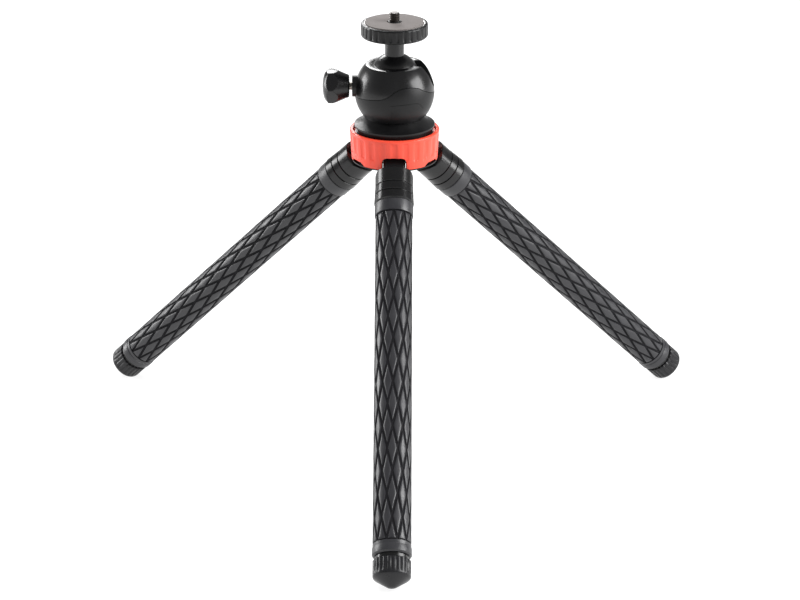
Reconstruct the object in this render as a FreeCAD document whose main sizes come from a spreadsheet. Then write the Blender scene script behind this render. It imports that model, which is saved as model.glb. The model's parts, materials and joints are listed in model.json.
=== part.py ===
import FreeCAD, Part
import math
import os
import types

import Sketcher

# Travel tripod with a ball head and three bendable legs.
# The origin is the middle of the camera pad's top face, with +Z up and the front leg towards -Y.

# Driving dimensions, in millimetres, degrees and counts
SIZES = {
    # Play between pieces that turn, bend or slide on each other, and between fixed ones
    "running_play": 0.05,
    "fit_play": 0.03,
    "ball_play": 0.3,
    # Camera screw, its retaining ring, pad and platform
    "screw_dia": 6.35,
    "screw_rise": 5.6,
    "screw_chamfer": 0.6,
    "shank_step": 0.275,
    "shank_depth": 16.0,
    "screw_ring_dia": 7.8,
    "screw_ring_rise": 0.45,
    "pad_bore_play": 0.4,
    "pad_proud": 0.7,
    "pad_recess": 0.8,
    "platform_dia": 40.4,
    "platform_thick": 8.3,
    "platform_lip": 1.52,
    "platform_bevel": 0.9,
    "platform_round": 1.4,
    "knurl_count": 30,
    "knurl_width": 1.0,
    "knurl_depth": 0.5,
    # Ball with its stem, and the liner that carries it
    "stem_dia": 11.6,
    "stem_length": 11.6,
    "ball_dia": 30.0,
    "liner_thick": 1.4,
    "liner_rim_drop": 11.6,
    # Round housing, its drop slot and its wavy parting line
    "housing_wall": 9.2,
    "housing_drop": 8.8,
    "housing_top_rise": 17.3,
    "housing_top_fall": 0.5,
    "housing_base_drop": 15.1,
    "liner_room_drop": 1.0,
    "slot_play": 0.5,
    "seam_left_fall": 6.1,
    "seam_left_bend": 8.0,
    "seam_left_rise": 1.0,
    "seam_left_radius": 20.0,
    "seam_rise_start": 0.5,
    "seam_rise_height": 5.3,
    "seam_crest_radius": 16.0,
    "seam_crest_end": 15.0,
    "seam_crest_height": 6.6,
    "seam_right_fall": 16.1,
    # Foot of the head, with the socket for the stud
    "head_base_dia": 33.2,
    "head_base_thick": 1.0,
    "head_base_bevel": 0.3,
    "spigot_dia": 15.9,
    "spigot_height": 5.8,
    "socket_depth": 6.2,
    # Clamp knob, screw, bush and brake shoe
    "clamp_rise": 2.8,
    "bush_dia": 13.0,
    "bush_setback": 2.2,
    "bush_stand": 1.4,
    "shoe_dia": 8.0,
    "shoe_depth": 2.5,
    "shoe_travel": 0.8,
    "clamp_screw_dia": 5.0,
    "knob_stand": 1.7,
    "knob_length": 16.3,
    "knob_dia": 21.6,
    "knob_neck_dia": 14.0,
    "knob_flat_width": 19.0,
    "knob_shoulder": 9.4,
    "knob_rim": 3.2,
    "knob_face_dia": 15.0,
    "knob_face_height": 1.2,
    "knob_socket": 8.0,
    # Flange under the head and the stud that the head turns on
    "flange_ring_play": 0.65,
    "flange_rise": 4.5,
    "flange_seat_margin": 0.6,
    "flange_sweep": 14.0,
    "flange_edge": 1.2,
    "flange_undercut": 0.6,
    "flange_overhang": 1.95,
    "flange_depth": 5.0,
    "stud_dia": 6.35,
    "stud_grip": 5.6,
    "stud_root": 9.0,
    # Coloured ring with its flutes and arches
    "ring_drop": 3.1,
    "ring_height": 18.7,
    "ring_wall": 2.67,
    "ring_flare": 1.1,
    "ring_round": 0.8,
    "ring_ledge_depth": 2.0,
    "ring_lip": 2.2,
    "flute_count": 24,
    "flute_width": 3.2,
    "flute_depth": 0.45,
    "flute_start": 5.3,
    "flute_length": 11.6,
    "arch_play": 0.8,
    "arch_height": 7.8,
    "arch_corner": 3.5,
    "notch_height": 2.2,
    "notch_slope": 3.2,
    # Hub body, its screws and bottom cap
    "hub_dia": 47.0,
    "hub_rim": 2.5,
    "hub_rim_thick": 0.7,
    "hub_screw_dia": 3.0,
    "hub_screw_head_dia": 5.4,
    "hub_screw_head_depth": 2.4,
    "hub_screw_reach": 2.6,
    "hub_screw_inset": 6.5,
    "hub_cap_margin": 1.05,
    "hub_cap_depth": 2.2,
    "hub_cap_lip": 0.6,
    # Leg hinges
    "leg_spread": 46.1,
    "pivot_inset": 7.65,
    "pivot_rise": 5.25,
    "pin_dia": 4.0,
    "pin_inset": 0.28,
    "eye_dia": 11.0,
    "tang_width": 13.4,
    "tang_play": 0.3,
    "tang_bevel": 1.2,
    "eye_play": 0.5,
    # Grooved collar at the top of each leg
    "collar_start": 11.0,
    "collar_length": 21.1,
    "collar_dia": 24.0,
    "collar_step": 0.6,
    "collar_bevel": 0.4,
    "groove_first": 9.2,
    "groove_pitch": 5.6,
    "groove_width": 0.8,
    "groove_depth": 0.6,
    # Bendable core and rubber sleeve, parted where the leg bends
    "tang_spigot": 11.0,
    "core_dia": 12.0,
    "sleeve_dia": 22.2,
    "sleeve_length": 222.6,
    "bend_count": 3,
    "bend_play": 0.6,
    "band_step": 0.5,
    "band_length": 7.0,
    "end_band_step": 0.35,
    "end_band_length": 6.4,
    "end_band_round": 0.8,
    # End ring and rubber foot
    "end_ring_dia": 19.6,
    "end_ring_thick": 2.4,
    "foot_dia": 22.0,
    "foot_straight": 9.3,
    "foot_cone": 6.9,
    "foot_rim_round": 1.6,
    "foot_rim_in": 1.0,
    "foot_rim_radius": 2.1,
    "foot_tip_dia": 5.0,
    "foot_tip_height": 0.5,
    "foot_edge_bevel": 0.4,
    "foot_socket": 8.5,
    "foot_flute_count": 24,
    "foot_flute_dia": 1.2,
}

# Direction of each leg seen from above, in degrees from +X
LEGS = {"front": -90.0, "right": 30.0, "left": 150.0}


class Size:
    """A length with its value and the formula over the sheet that gives it."""

    def __init__(self, value, formula=None):
        self.value = float(value)
        self.formula = formula or "(%.6f)" % value

    def __add__(self, other):
        return combine(self, other, "+")

    def __radd__(self, other):
        return combine(other, self, "+")

    def __sub__(self, other):
        return combine(self, other, "-")

    def __rsub__(self, other):
        return combine(other, self, "-")

    def __mul__(self, other):
        return combine(self, other, "*")

    def __rmul__(self, other):
        return combine(other, self, "*")

    def __truediv__(self, other):
        return combine(self, other, "/")

    def __neg__(self):
        return combine(0, self, "-")


def as_size(number):
    return number if isinstance(number, Size) else Size(number)


def combine(left, right, sign):
    """Two lengths added, subtracted, multiplied or divided, in value and in formula."""
    left = as_size(left)
    right = as_size(right)
    results = {"+": left.value + right.value, "-": left.value - right.value, "*": left.value * right.value}
    value = results[sign] if sign in results else left.value / right.value
    return Size(value, "(%s %s %s)" % (left.formula, sign, right.formula))


def leg_of(hypotenuse, side):
    """The other short side of a right triangle, such as a sphere's height at a radius."""
    square = hypotenuse * hypotenuse - side * side
    return Size(math.sqrt(square.value), "sqrt(%s)" % square.formula)


doc = FreeCAD.newDocument("TravelTripod")
sheet = doc.addObject("Spreadsheet::Sheet", "Sizes")
for row, (name, number) in enumerate(SIZES.items(), start=1):
    sheet.set("A%d" % row, name)
    sheet.set("B%d" % row, str(number))
    sheet.setAlias("B%d" % row, name)
doc.recompute()
d = types.SimpleNamespace(**{name: Size(number, "Sizes." + name) for name, number in SIZES.items()})
zero = Size(0)
parts = []

# Radii that several pieces share
shank_r = d.screw_dia / 2 - d.shank_step
pad_r = d.platform_dia / 2 - d.platform_bevel - d.platform_lip - d.fit_play
stem_r = d.stem_dia / 2
ball_r = d.ball_dia / 2
housing_r = ball_r + d.housing_wall
hub_r = d.hub_dia / 2
ring_bore = hub_r + d.fit_play
ring_base_r = ring_bore + d.ring_wall
ring_top_r = ring_base_r + d.ring_flare
ring_mouth = ring_top_r - d.ring_lip
flange_r = ring_mouth - d.flange_ring_play
pivot_r = hub_r - d.pivot_inset
slot_near = pivot_r - d.eye_dia / 2 - d.eye_play
arch_half = d.tang_width / 2 + d.arch_play
hub_screw_out = hub_r - d.hub_screw_inset

# Heights of the main faces and centres, worked down from the pad's top face
plate_top = -d.pad_proud
plate_base = plate_top - d.platform_thick
ball_level = plate_base - d.stem_length - leg_of(ball_r, stem_r)
housing_level = ball_level - d.housing_drop
clamp_level = housing_level + d.clamp_rise
foot_level = housing_level - d.housing_base_drop - d.head_base_thick
flange_level = foot_level - d.flange_rise
hub_top = flange_level - d.flange_depth
ring_base = flange_level - d.ring_drop - d.ring_height
hub_base = ring_base - d.hub_rim_thick
pivot_level = hub_base + d.pivot_rise


def place(part, level=zero, along=None):
    """Give a sub-part its place: a height on the tripod's axis, or a leg's own frame."""
    if along:
        azimuth, roll, pitch = along
        turn = math.radians(azimuth)
        part.Placement = FreeCAD.Placement(FreeCAD.Vector(), FreeCAD.Rotation(azimuth, pitch, roll))
        part.setExpression("Placement.Base.x", (pivot_r * math.cos(turn)).formula)
        part.setExpression("Placement.Base.y", (pivot_r * math.sin(turn)).formula)
    part.setExpression("Placement.Base.z", level.formula)
    parts.append(part)
    return part


def new_body(label, level=zero, along=None):
    body = doc.addObject("PartDesign::Body", label)
    body.Label = label
    return place(body, level, along)


def leg_frame(azimuth):
    """Frame of a leg: +Z runs from the hinge to the foot and +Y along the hinge pin."""
    return (azimuth, 0.0, 180.0 - d.leg_spread.value)


def origin_feature(body, role):
    return [feature for feature in body.Origin.OriginFeatures if feature.Role == role][0]


def new_sketch(body, plane, offset=zero):
    sketch = body.newObject("Sketcher::SketchObject", "Outline")
    sketch.AttachmentSupport = [(origin_feature(body, plane), "")]
    sketch.MapMode = "FlatFace"
    if offset is not zero:
        sketch.setExpression("AttachmentOffset.Base.z", offset.formula)
    return sketch


def tie(sketch, kind, target, length):
    """Add one dimension to a sketch and bind it to its formula."""
    index = sketch.addConstraint(Sketcher.Constraint(kind, *target, length.value))
    name = "size%d" % index
    sketch.renameConstraint(index, name)
    sketch.setExpression("Constraints." + name, length.formula)


def arc_between(start, finish, radius):
    """The shorter arc between two points, with its centre to the left when the radius is positive."""
    chord = finish - start
    across = FreeCAD.Vector(-chord.y, chord.x, 0).normalize() * math.copysign(1, radius)
    height = math.sqrt(max(radius * radius - chord.Length * chord.Length / 4, 0))
    centre = (start + finish) / 2 + across * height
    circle = Part.Circle(centre, FreeCAD.Vector(0, 0, 1), abs(radius))
    first = math.atan2(start.y - centre.y, start.x - centre.x)
    last = math.atan2(finish.y - centre.y, finish.x - centre.x)
    return Part.ArcOfCircle(circle, first, last) if radius > 0 else Part.ArcOfCircle(circle, last, first)


def add_loop(sketch, corners):
    """Closed outline through corners (x, y), or (x, y, radius) where an arc leads to the next one."""
    corners = [tuple(as_size(value) for value in corner) for corner in corners]
    points = [FreeCAD.Vector(corner[0].value, corner[1].value, 0) for corner in corners]
    count = len(corners)
    ends = []
    for number, corner in enumerate(corners):
        start = points[number]
        finish = points[(number + 1) % count]
        forward = len(corner) == 2 or corner[2].value > 0
        curve = Part.LineSegment(start, finish) if len(corner) == 2 else arc_between(start, finish, corner[2].value)
        index = sketch.addGeometry(curve, False)
        ends.append((index, 1, 2) if forward else (index, 2, 1))
    for number, (index, start, finish) in enumerate(ends):
        following = ends[(number + 1) % count]
        sketch.addConstraint(Sketcher.Constraint("Coincident", index, finish, following[0], following[1]))
    for (index, start, finish), corner in zip(ends, corners):
        tie(sketch, "DistanceX", (-1, 1, index, start), corner[0])
        tie(sketch, "DistanceY", (-1, 1, index, start), corner[1])
        if len(corner) == 3:
            tie(sketch, "Radius", (index,), corner[2] if corner[2].value > 0 else -corner[2])
    return sketch


def add_circle(sketch, across, up, radius):
    centre = FreeCAD.Vector(as_size(across).value, as_size(up).value, 0)
    index = sketch.addGeometry(Part.Circle(centre, FreeCAD.Vector(0, 0, 1), radius.value), False)
    tie(sketch, "DistanceX", (-1, 1, index, 3), as_size(across))
    tie(sketch, "DistanceY", (-1, 1, index, 3), as_size(up))
    tie(sketch, "Radius", (index,), radius)
    return sketch


def revolve(body, corners, kind="Revolution"):
    """Turn an outline of (radius, height) corners about the body's own Z axis."""
    sketch = add_loop(new_sketch(body, "XZ_Plane"), corners)
    feature = body.newObject("PartDesign::" + kind, "Turned")
    feature.Profile = sketch
    feature.ReferenceAxis = (sketch, ["V_Axis"])
    feature.Angle = 360
    body.Tip = feature
    return feature


def turned(label, corners, level=zero, along=None):
    body = new_body(label, level, along)
    revolve(body, corners)
    return body


def extrude(body, kind, sketch, length, midplane=False, reverse=False):
    """Pad or pocket of a sketch; a pocket has to take material away."""
    doc.recompute()
    before = body.Shape.Volume if kind == "Pocket" else 0
    feature = body.newObject("PartDesign::" + kind, kind)
    feature.Profile = sketch
    feature.Type = "Length"
    feature.setExpression("Length", as_size(length).formula)
    feature.Midplane = midplane
    feature.Reversed = reverse
    body.Tip = feature
    doc.recompute()
    if kind == "Pocket" and not body.Shape.Volume < before:
        raise RuntimeError("a pocket cuts nothing in " + body.Label)
    return feature


def polar(body, feature, count):
    """Repeat a feature round the body's own Z axis."""
    pattern = body.newObject("PartDesign::PolarPattern", "Round")
    pattern.Originals = [feature]
    pattern.Axis = (origin_feature(body, "Z_Axis"), [""])
    pattern.Angle = 360
    pattern.setExpression("Occurrences", as_size(count).formula)
    body.Tip = pattern
    doc.recompute()
    return pattern


# Camera screw: threaded end above the ring, thinner shank through the platform into the stem
def make_camera_screw():
    screw_r = d.screw_dia / 2
    turned("camera_screw", [
        (0, -d.shank_depth),
        (shank_r, -d.shank_depth),
        (shank_r, d.screw_ring_rise),
        (screw_r, d.screw_ring_rise),
        (screw_r, d.screw_rise - d.screw_chamfer),
        (screw_r - d.screw_chamfer, d.screw_rise),
        (0, d.screw_rise),
    ])
    floor = -(d.pad_proud + d.pad_recess) + d.running_play
    bore = shank_r + d.fit_play
    turned("screw_ring", [
        (bore, floor),
        (d.screw_ring_dia / 2, floor),
        (d.screw_ring_dia / 2, d.screw_ring_rise),
        (bore, d.screw_ring_rise),
    ])


# Pad on the platform, and the knurled platform with its raised lip
def make_platform():
    pad_bore = d.screw_ring_dia / 2 + d.pad_bore_play
    turned("platform_pad", [
        (pad_bore, -(d.pad_proud + d.pad_recess)),
        (pad_r, -(d.pad_proud + d.pad_recess)),
        (pad_r, 0),
        (pad_bore, 0),
    ])
    bore = shank_r + d.running_play
    outer = d.platform_dia / 2
    recess = pad_r + d.fit_play
    body = turned("platform", [
        (bore, 0),
        (outer - d.platform_round, 0, d.platform_round),
        (outer, d.platform_round),
        (outer, d.platform_thick - d.platform_bevel),
        (outer - d.platform_bevel, d.platform_thick),
        (recess, d.platform_thick),
        (recess, d.platform_thick - d.pad_recess),
        (bore, d.platform_thick - d.pad_recess),
    ], plate_base)
    groove = new_sketch(body, "XY_Plane", d.platform_round)
    half = d.knurl_width / 2
    add_loop(groove, [
        (outer - d.knurl_depth, -half),
        (outer + d.knurl_depth, -half),
        (outer + d.knurl_depth, half),
        (outer - d.knurl_depth, half),
    ])
    height = d.platform_thick - d.platform_bevel - d.platform_round
    polar(body, extrude(body, "Pocket", groove, height, reverse=True), d.knurl_count)


# Ball with the stem that stands on it, and the liner under the ball
def make_ball():
    stem_top = d.stem_length + leg_of(ball_r, stem_r)
    bore = shank_r + d.fit_play
    bore_floor = stem_top - (d.shank_depth + plate_base) - d.fit_play
    turned("ball_stem", [
        (0, -ball_r, ball_r),
        (stem_r, leg_of(ball_r, stem_r)),
        (stem_r, stem_top),
        (bore, stem_top),
        (bore, bore_floor),
        (0, bore_floor),
    ], ball_level)
    inner = ball_r + d.ball_play
    outer = inner + d.liner_thick
    rim = d.liner_rim_drop
    turned("ball_liner", [
        (0, -outer, outer),
        (leg_of(outer, rim), -rim),
        (leg_of(inner, rim), -rim, -inner),
        (0, -inner),
    ], ball_level)


def seam_line():
    """Wavy parting line of the housing seen from the front, from left to right."""
    reach = housing_r * 2
    return [
        (-reach, -d.seam_left_fall),
        (-d.seam_left_bend, d.seam_left_rise, d.seam_left_radius),
        (-d.seam_rise_start, d.seam_rise_height, -d.seam_crest_radius),
        (d.seam_crest_end, d.seam_crest_height),
        (reach, -d.seam_right_fall),
    ]


# Round housing in two pieces, parted along the wave, with the slot that the stem drops into
def make_housing(label, keeps_top):
    ball_up = d.housing_drop
    beyond = housing_r * 2
    cavity = ball_r + d.ball_play
    room = cavity + d.liner_thick + d.ball_play
    step = -d.liner_room_drop
    top = d.housing_top_rise
    rim = top - d.housing_top_fall
    bore = d.spigot_dia / 2 + d.fit_play
    body = turned(label, [
        (bore, -d.housing_base_drop),
        (leg_of(housing_r, d.housing_base_drop), -d.housing_base_drop, housing_r),
        (leg_of(housing_r, rim), rim),
        (leg_of(cavity, top - ball_up), top, -cavity),
        (leg_of(cavity, step), ball_up + step),
        (leg_of(room, step), ball_up + step, -room),
        (bore, ball_up - leg_of(room, bore)),
    ], housing_level)
    slot_r = stem_r + d.slot_play
    slot = new_sketch(body, "YZ_Plane")
    add_loop(slot, [
        (-slot_r, ball_up, slot_r),
        (0, ball_up - slot_r, slot_r),
        (slot_r, ball_up),
        (slot_r, top * 2),
        (-slot_r, top * 2),
    ])
    extrude(body, "Pocket", slot, beyond, reverse=True)
    hole = new_sketch(body, "YZ_Plane")
    add_circle(hole, 0, d.clamp_rise, d.bush_dia / 2 + d.fit_play)
    extrude(body, "Pocket", hole, beyond)
    side = -beyond if keeps_top else beyond
    waste = new_sketch(body, "XZ_Plane")
    add_loop(waste, seam_line() + [(beyond, side), (-beyond, side)])
    extrude(body, "Pocket", waste, beyond * 2, midplane=True)


# Foot of the head: a turned metal base with a spigot and a blind socket for the stud
def make_head_base():
    bore = d.stud_dia / 2 + d.running_play
    outer = d.head_base_dia / 2
    top = d.head_base_thick + d.spigot_height
    turned("head_base", [
        (bore, 0),
        (outer, 0),
        (outer, d.head_base_thick - d.head_base_bevel),
        (outer - d.head_base_bevel, d.head_base_thick),
        (d.spigot_dia / 2, d.head_base_thick),
        (d.spigot_dia / 2, top),
        (0, top),
        (0, d.socket_depth),
        (bore, d.socket_depth),
    ], foot_level)


# Clamp: its pieces lie along -X, with their own +Z pointing outwards from the head
def clamp_place(part):
    part.Placement = FreeCAD.Placement(FreeCAD.Vector(), FreeCAD.Rotation(0, -90, 0))
    part.setExpression("Placement.Base.z", clamp_level.formula)


def make_clamp():
    shoe_bore = d.shoe_dia / 2 + d.running_play
    bush_inner = ball_r + d.ball_play + d.bush_setback
    bush_face = housing_r + d.bush_stand
    shoe_back = bush_inner + d.shoe_depth
    shoe_room = shoe_back + 2 * d.shoe_travel
    screw_r = d.clamp_screw_dia / 2
    screw_bore = screw_r + d.running_play
    clamp_place(turned("clamp_bush", [
        (shoe_bore, bush_inner),
        (d.bush_dia / 2, bush_inner),
        (d.bush_dia / 2, bush_face),
        (screw_bore, bush_face),
        (screw_bore, shoe_room),
        (shoe_bore, shoe_room),
    ]))
    knob_base = bush_face + d.knob_stand
    knob_end = knob_base + d.knob_length
    clamp_place(turned("clamp_screw", [
        (0, shoe_back),
        (screw_r, shoe_back),
        (screw_r, knob_base + d.knob_socket),
        (0, knob_base + d.knob_socket),
    ]))
    neck_r = d.knob_neck_dia / 2
    knob_r = d.knob_dia / 2
    bore = screw_r + d.fit_play
    knob = turned("clamp_knob", [
        (bore, knob_base),
        (neck_r, knob_base),
        (knob_r, knob_base + d.knob_shoulder),
        (knob_r, knob_base + d.knob_shoulder + d.knob_rim),
        (d.knob_face_dia / 2, knob_end - d.knob_face_height),
        (0, knob_end),
        (0, knob_base + d.knob_socket + d.fit_play),
        (bore, knob_base + d.knob_socket + d.fit_play),
    ])
    clamp_place(knob)
    flats = new_sketch(knob, "XY_Plane")
    corner_r = d.knob_flat_width / 2 / math.cos(math.radians(30))
    turns = [math.radians(30 + 60 * number) for number in range(6)]
    add_loop(flats, [(corner_r * math.cos(turn), corner_r * math.sin(turn)) for turn in turns])
    add_circle(flats, 0, 0, d.knob_dia)
    extrude(knob, "Pocket", flats, knob_end * 2, midplane=True)
    # The shoe is a rod whose face is hollowed to the ball
    rod = doc.addObject("Part::Cylinder", "ShoeRod")
    rod.setExpression("Radius", (d.shoe_dia / 2).formula)
    rod.setExpression("Height", (shoe_back - ball_r / 2).formula)
    rod.setExpression("Placement.Base.z", (ball_r / 2).formula)
    ball = doc.addObject("Part::Sphere", "ShoeHollow")
    ball.setExpression("Radius", (ball_r + d.ball_play).formula)
    ball.setExpression("Placement.Base.x", (d.housing_drop - d.clamp_rise).formula)
    shoe = doc.addObject("Part::Cut", "brake_shoe")
    shoe.Base = rod
    shoe.Tool = ball
    shoe.Label = "brake_shoe"
    parts.append(shoe)
    clamp_place(shoe)


# Flange that sweeps up from its edge to the head's seat, and the stud through it
def make_flange():
    bore = d.stud_dia / 2 + d.fit_play
    edge = flange_r
    spigot = flange_r - d.flange_overhang
    body = turned("hub_flange", [
        (bore, -d.flange_depth),
        (spigot, -d.flange_depth),
        (spigot, -d.flange_edge - d.flange_undercut),
        (edge, -d.flange_edge),
        (edge, 0, -d.flange_sweep),
        (d.head_base_dia / 2 + d.flange_seat_margin, d.flange_rise),
        (bore, d.flange_rise),
    ], flange_level)
    screw_hole = new_sketch(body, "XY_Plane", -d.flange_depth)
    add_circle(screw_hole, 0, hub_screw_out, d.hub_screw_dia / 2 + d.fit_play)
    depth = d.hub_screw_reach + d.fit_play
    polar(body, extrude(body, "Pocket", screw_hole, depth, reverse=True), len(LEGS))
    stud_r = d.stud_dia / 2
    turned("head_stud", [
        (0, 0),
        (stud_r, 0),
        (stud_r, d.stud_root + d.flange_depth + d.flange_rise + d.stud_grip),
        (0, d.stud_root + d.flange_depth + d.flange_rise + d.stud_grip),
    ], hub_top - d.stud_root)


# Coloured ring round the hub: shallow flutes on its upper part, an arch over each leg and a low
# notch between the legs
def make_ring():
    height = d.ring_height
    body = turned("hub_ring", [
        (ring_bore, 0),
        (ring_base_r, 0),
        (ring_top_r, height - d.ring_round, d.ring_round),
        (ring_top_r - d.ring_round, height),
        (ring_mouth, height),
        (ring_mouth, height - d.ring_ledge_depth),
        (ring_bore, height - d.ring_ledge_depth),
    ], ring_base)
    flute = new_sketch(body, "XY_Plane", d.flute_start)
    floor = ring_base_r + d.ring_flare * (d.flute_start / height) - d.flute_depth
    half = d.flute_width / 2
    beyond = ring_top_r + d.flute_depth
    add_loop(flute, [(floor, -half), (beyond, -half), (beyond, half), (floor, half)])
    polar(body, extrude(body, "Pocket", flute, d.flute_length, reverse=True), d.flute_count)
    arch = new_sketch(body, "XZ_Plane")
    corner = d.arch_corner
    add_loop(arch, [
        (-arch_half, -corner),
        (arch_half, -corner),
        (arch_half, d.arch_height - corner, corner),
        (arch_half - corner, d.arch_height),
        (corner - arch_half, d.arch_height, corner),
        (-arch_half, d.arch_height - corner),
    ])
    polar(body, extrude(body, "Pocket", arch, ring_top_r * 2, reverse=True), len(LEGS))
    notch = new_sketch(body, "XZ_Plane")
    add_loop(notch, [
        (-arch_half, -corner),
        (arch_half, -corner),
        (arch_half, 0),
        (arch_half - d.notch_slope, d.notch_height),
        (d.notch_slope - arch_half, d.notch_height),
        (-arch_half, 0),
    ])
    polar(body, extrude(body, "Pocket", notch, ring_top_r * 2), len(LEGS))


# Hub body: a disc whose thin rim the ring stands on, with a slot for each leg's tang, cross holes
# for the hinge pins and screw holes
def make_hub():
    height = hub_top - hub_base
    body = turned("hub_body", [
        (0, 0),
        (hub_r + d.hub_rim, 0),
        (hub_r + d.hub_rim, d.hub_rim_thick),
        (hub_r, d.hub_rim_thick),
        (hub_r, height),
        (0, height),
    ], hub_base)
    half = d.tang_width / 2 + d.tang_play
    ceiling = d.pivot_rise + d.eye_dia / 2 + d.eye_play
    for side, near, depth in ((half, slot_near, ceiling), (arch_half, hub_r, d.hub_rim_thick)):
        slot = new_sketch(body, "XY_Plane")
        add_loop(slot, [(-side, -ring_top_r), (side, -ring_top_r), (side, -near), (-side, -near)])
        polar(body, extrude(body, "Pocket", slot, depth, reverse=True), len(LEGS))
    pin_hole = new_sketch(body, "YZ_Plane")
    add_circle(pin_hole, -pivot_r, d.pivot_rise, d.pin_dia / 2 + d.fit_play)
    polar(body, extrude(body, "Pocket", pin_hole, ring_bore * 2, midplane=True), len(LEGS))
    stud_hole = new_sketch(body, "XY_Plane")
    add_circle(stud_hole, 0, 0, d.stud_dia / 2 + d.fit_play)
    extrude(body, "Pocket", stud_hole, height * 2, midplane=True)
    cap_hole = new_sketch(body, "XY_Plane")
    add_circle(cap_hole, 0, 0, slot_near - d.hub_cap_margin - d.hub_cap_lip + d.fit_play)
    extrude(body, "Pocket", cap_hole, d.hub_cap_depth, reverse=True)
    screw_hole = new_sketch(body, "XY_Plane")
    add_circle(screw_hole, 0, hub_screw_out, d.hub_screw_dia / 2 + d.fit_play)
    polar(body, extrude(body, "Pocket", screw_hole, height * 2, midplane=True), len(LEGS))
    head_hole = new_sketch(body, "XY_Plane")
    add_circle(head_hole, 0, hub_screw_out, d.hub_screw_head_dia / 2 + d.fit_play)
    polar(body, extrude(body, "Pocket", head_hole, d.hub_screw_head_depth, reverse=True), len(LEGS))


# Plug in the hub's underside, and the screws that hold the flange from below
def make_hub_fasteners():
    lip_r = slot_near - d.hub_cap_margin
    plug_r = lip_r - d.hub_cap_lip
    turned("hub_cap", [
        (0, -d.hub_cap_lip),
        (lip_r - d.hub_cap_lip, -d.hub_cap_lip),
        (lip_r, 0),
        (plug_r, 0),
        (plug_r, d.hub_cap_depth),
        (0, d.hub_cap_depth),
    ], hub_base)
    body = new_body("hub_screws", hub_base)
    body.AllowCompound = True
    length = hub_top - hub_base + d.hub_screw_reach
    head = new_sketch(body, "XY_Plane")
    add_circle(head, 0, hub_screw_out, d.hub_screw_head_dia / 2)
    polar(body, extrude(body, "Pad", head, d.hub_screw_head_depth - d.fit_play), len(LEGS))
    shank = new_sketch(body, "XY_Plane")
    add_circle(shank, 0, hub_screw_out, d.hub_screw_dia / 2)
    polar(body, extrude(body, "Pad", shank, length), len(LEGS))


# One leg, from its hinge pin to its foot
def make_leg(side, azimuth):
    frame = leg_frame(azimuth)
    pin_r = d.pin_dia / 2
    half_pin = leg_of(hub_r, pivot_r + pin_r) - d.pin_inset
    turned(side + "_hinge_pin", [
        (0, -half_pin),
        (pin_r, -half_pin),
        (pin_r, half_pin),
        (0, half_pin),
    ], pivot_level, (azimuth, -90.0, 0.0))
    make_knuckle(side + "_knuckle", frame)
    make_collar(side + "_collar", frame)
    sleeve_start = d.collar_start + d.collar_length
    sleeve_end = sleeve_start + d.sleeve_length
    make_bending_run(side, frame, sleeve_start, sleeve_end)
    bore = d.core_dia / 2 + d.fit_play
    ring_end = sleeve_end + d.end_ring_thick
    turned(side + "_end_ring", [
        (bore, sleeve_end),
        (d.end_ring_dia / 2, sleeve_end),
        (d.end_ring_dia / 2, ring_end),
        (bore, ring_end),
    ], pivot_level, frame)
    make_foot(side + "_foot", frame, ring_end)


# Tang with the hinge eye at the origin of the leg, and a round spigot that the collar sits on
def make_knuckle(label, frame):
    eye_r = d.eye_dia / 2
    body = new_body(label, pivot_level, frame)
    tang = new_sketch(body, "XZ_Plane")
    add_loop(tang, [
        (-eye_r, 0, eye_r),
        (0, -eye_r, eye_r),
        (eye_r, 0),
        (eye_r, d.collar_start),
        (-eye_r, d.collar_start),
    ])
    add_circle(tang, 0, 0, d.pin_dia / 2 + d.running_play)
    slab = extrude(body, "Pad", tang, d.tang_width, midplane=True)
    edges = []
    for number, edge in enumerate(slab.Shape.Edges, start=1):
        ends = [vertex.Point for vertex in edge.Vertexes]
        at_side = all(abs(abs(end.y) - d.tang_width.value / 2) < 0.01 for end in ends)
        at_face = all(abs(abs(end.x) - eye_r.value) < 0.01 for end in ends)
        if len(ends) == 2 and at_side and at_face and ends[0].x * ends[1].x > 0:
            edges.append("Edge%d" % number)
    bevel = body.newObject("PartDesign::Chamfer", "Bevel")
    bevel.Base = (slab, edges)
    bevel.setExpression("Size", d.tang_bevel.formula)
    body.Tip = bevel
    doc.recompute()
    spigot = new_sketch(body, "XY_Plane", d.collar_start)
    add_circle(spigot, 0, 0, d.core_dia / 2)
    extrude(body, "Pad", spigot, d.tang_spigot)


# Collar with a square top and two turned grooves
def make_collar(label, frame):
    bore = d.core_dia / 2 + d.fit_play
    start = d.collar_start
    end = start + d.collar_length
    wide = d.collar_dia / 2
    neck = wide - d.collar_step
    mean = (neck + wide) / 2
    first = start + d.groove_first
    second = first + d.groove_pitch
    depth = d.groove_depth
    turned(label, [
        (bore, start),
        (neck - d.collar_bevel, start),
        (neck, start + d.collar_bevel),
        (neck, first),
        (neck - depth, first),
        (neck - depth, first + d.groove_width),
        (neck + d.fit_play, first + d.groove_width),
        (mean, second),
        (mean - depth, second),
        (mean - depth, second + d.groove_width),
        (mean + d.fit_play, second + d.groove_width),
        (wide, end - d.groove_width),
        (wide - d.groove_depth, end),
        (bore, end),
    ], pivot_level, frame)


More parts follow.
